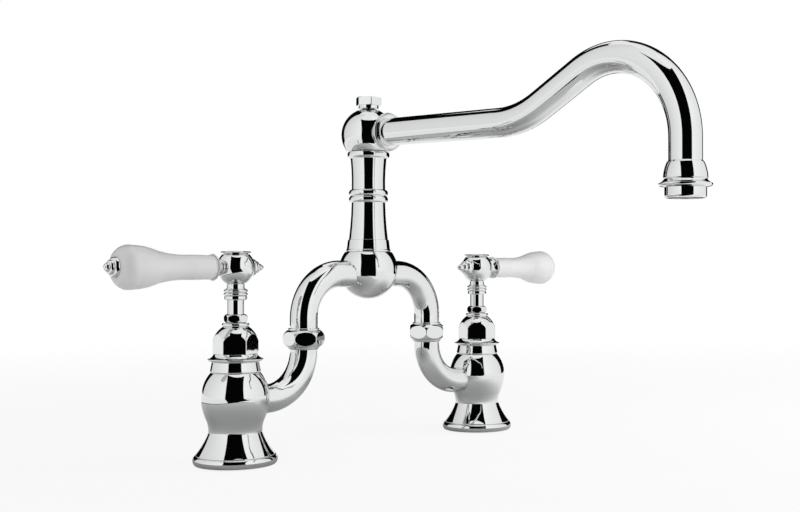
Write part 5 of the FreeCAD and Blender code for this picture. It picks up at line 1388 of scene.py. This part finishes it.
def table_edge(azimuth):
    """Radius of the grey card. It keeps one distance from the left foot on the camera's side,
    so that its edge shows as a level line in the left bulb."""
    a = math.radians(azimuth)
    chord = max(LEVEL_EDGE ** 2 - (INLET_X * math.sin(a)) ** 2, 0)
    nearby = math.sqrt(chord) - INLET_X * math.cos(a)
    share = ease_in(azimuth, 140, 180) * (1 - ease_in(azimuth, 250, 310))
    return TABLE_RADIUS + share * min(nearby - TABLE_RADIUS, 0)


def table_cover(point, u, v):
    """The grey card ends sharply on the left and thins out to nothing on the right."""
    azimuth = 180 + 180 * u
    sharp = ease_in(azimuth, 60, 90) * (1 - ease_in(azimuth, 250, 290))
    return 1 - (1 - sharp) * ease_in(v, 0.3, 1.0)


def grey_table(u, v):
    azimuth = 180 + 180 * u
    return on_floor(azimuth, table_edge(azimuth) * v, 0.0004)


def table_rim(u, v):
    azimuth = RIM_MIDDLE + RIM_HALF * u
    return on_floor(azimuth, table_edge(azimuth) + RIM_WIDTH * v, 0.0008)


# the grey card and its dark rim are seen only in the chrome: painted shade and a painted dark line
patch("grey_table", PAINTED_SHADE_CARD, grey_table, painted_foot_shade, table_cover, across=144)
patch("table_rim", PAINTED_SHADE_CARD, table_rim, lambda point, u, v: RIM_TONE,
      lambda point, u, v: 1 - ease_in(abs(u), 0.8, 1), across=72, upward=2)

# %% [markdown]
# ## White silks that glow for the chrome
# Two silks hang at the sides and glow, with no lamp behind them; they light nothing and are
# seen only in the chrome, as painted reflections. They are a little brighter than paper white
# towards one end, so the whites in the chrome are not all the same.

# %% White silks
SILK_RADIUS, SILK_OFFSET, SILK_HALF, SILK_TOP = 1.8, 80, 48, 80


def silk(direction):
    """Place function of a silk on one side of the camera."""
    middle = TO_CAMERA + direction * SILK_OFFSET
    return lambda u, v: polar(middle + SILK_HALF * u, SILK_TOP * v, SILK_RADIUS)


# painted reflections: each silk glows brighter towards one end
patch("left_silk", GLOWING_SILK, silk(-1), lambda point, u, v: 0.92 + 0.14 * u - 0.02 * v)
patch("right_silk", GLOWING_SILK, silk(1), lambda point, u, v: 1.0 - 0.10 * u + 0.04 * v)

# %% [markdown]
# ## World and lamps
# The world is white to the camera, to mirrors and to glass, and a plain grey to everything
# else. Two large lamps add soft direction for the porcelain.

# %% World and lamps
world = bpy.data.worlds.new("white tent")
bpy.context.scene.world = world
world.use_nodes = True
tree = world.node_tree
tree.nodes.clear()
lit = add(tree, "ShaderNodeBackground", values={"Color": colour("FFFFFF"), "Strength": 0.53})
white = add(tree, "ShaderNodeBackground", values={"Color": colour("FFFFFF"), "Strength": 1.0})
tent = add(tree, "ShaderNodeMixShader",
           {"Fac": seen_directly(tree), 1: lit.outputs[0], 2: white.outputs[0]})
add(tree, "ShaderNodeOutputWorld", {"Surface": tent.outputs[0]})


def lamp(name, place, aim, size, power):
    data = bpy.data.lights.new(name, "AREA")
    data.shape, data.size, data.energy = "DISK", size, power
    thing = bpy.data.objects.new(name, data)
    thing.location = place
    thing.rotation_euler = (Vector(place) - Vector(aim)).to_track_quat("Z", "Y").to_euler()
    thing.visible_camera = False
    thing.visible_glossy = False
    bpy.context.scene.collection.objects.link(thing)


AIM = (0, -0.08, 0.12)
lamp("key", (-0.9, -0.9, 1.5), AIM, 0.9, 3)
lamp("side", (0.5, -0.5, 0.27), (0.17, 0, 0.115), 0.4, 1.8)
print("two lamps and a white tent")

# %% [markdown]
# ## Camera
# The camera stands where the photograph was taken from, as fitted from the turned edges. A
# sideways shift of the lens frames it as the photograph is framed, and keeps uprights upright.

# %% Camera
camera_data = bpy.data.cameras.new("camera")
camera_data.sensor_width, camera_data.lens, camera_data.shift_x = 36.0, 51.03, -0.125
camera_data.clip_start = 0.01
camera = bpy.data.objects.new("camera", camera_data)
camera.location = VIEW_FROM
camera.rotation_euler = (math.pi / 2 + math.radians(0.636), 0, math.radians(-46.834))
bpy.context.scene.collection.objects.link(camera)
bpy.context.scene.camera = camera
bpy.context.scene.view_settings.view_transform = "Standard"
print("lens", camera_data.lens, "mm")
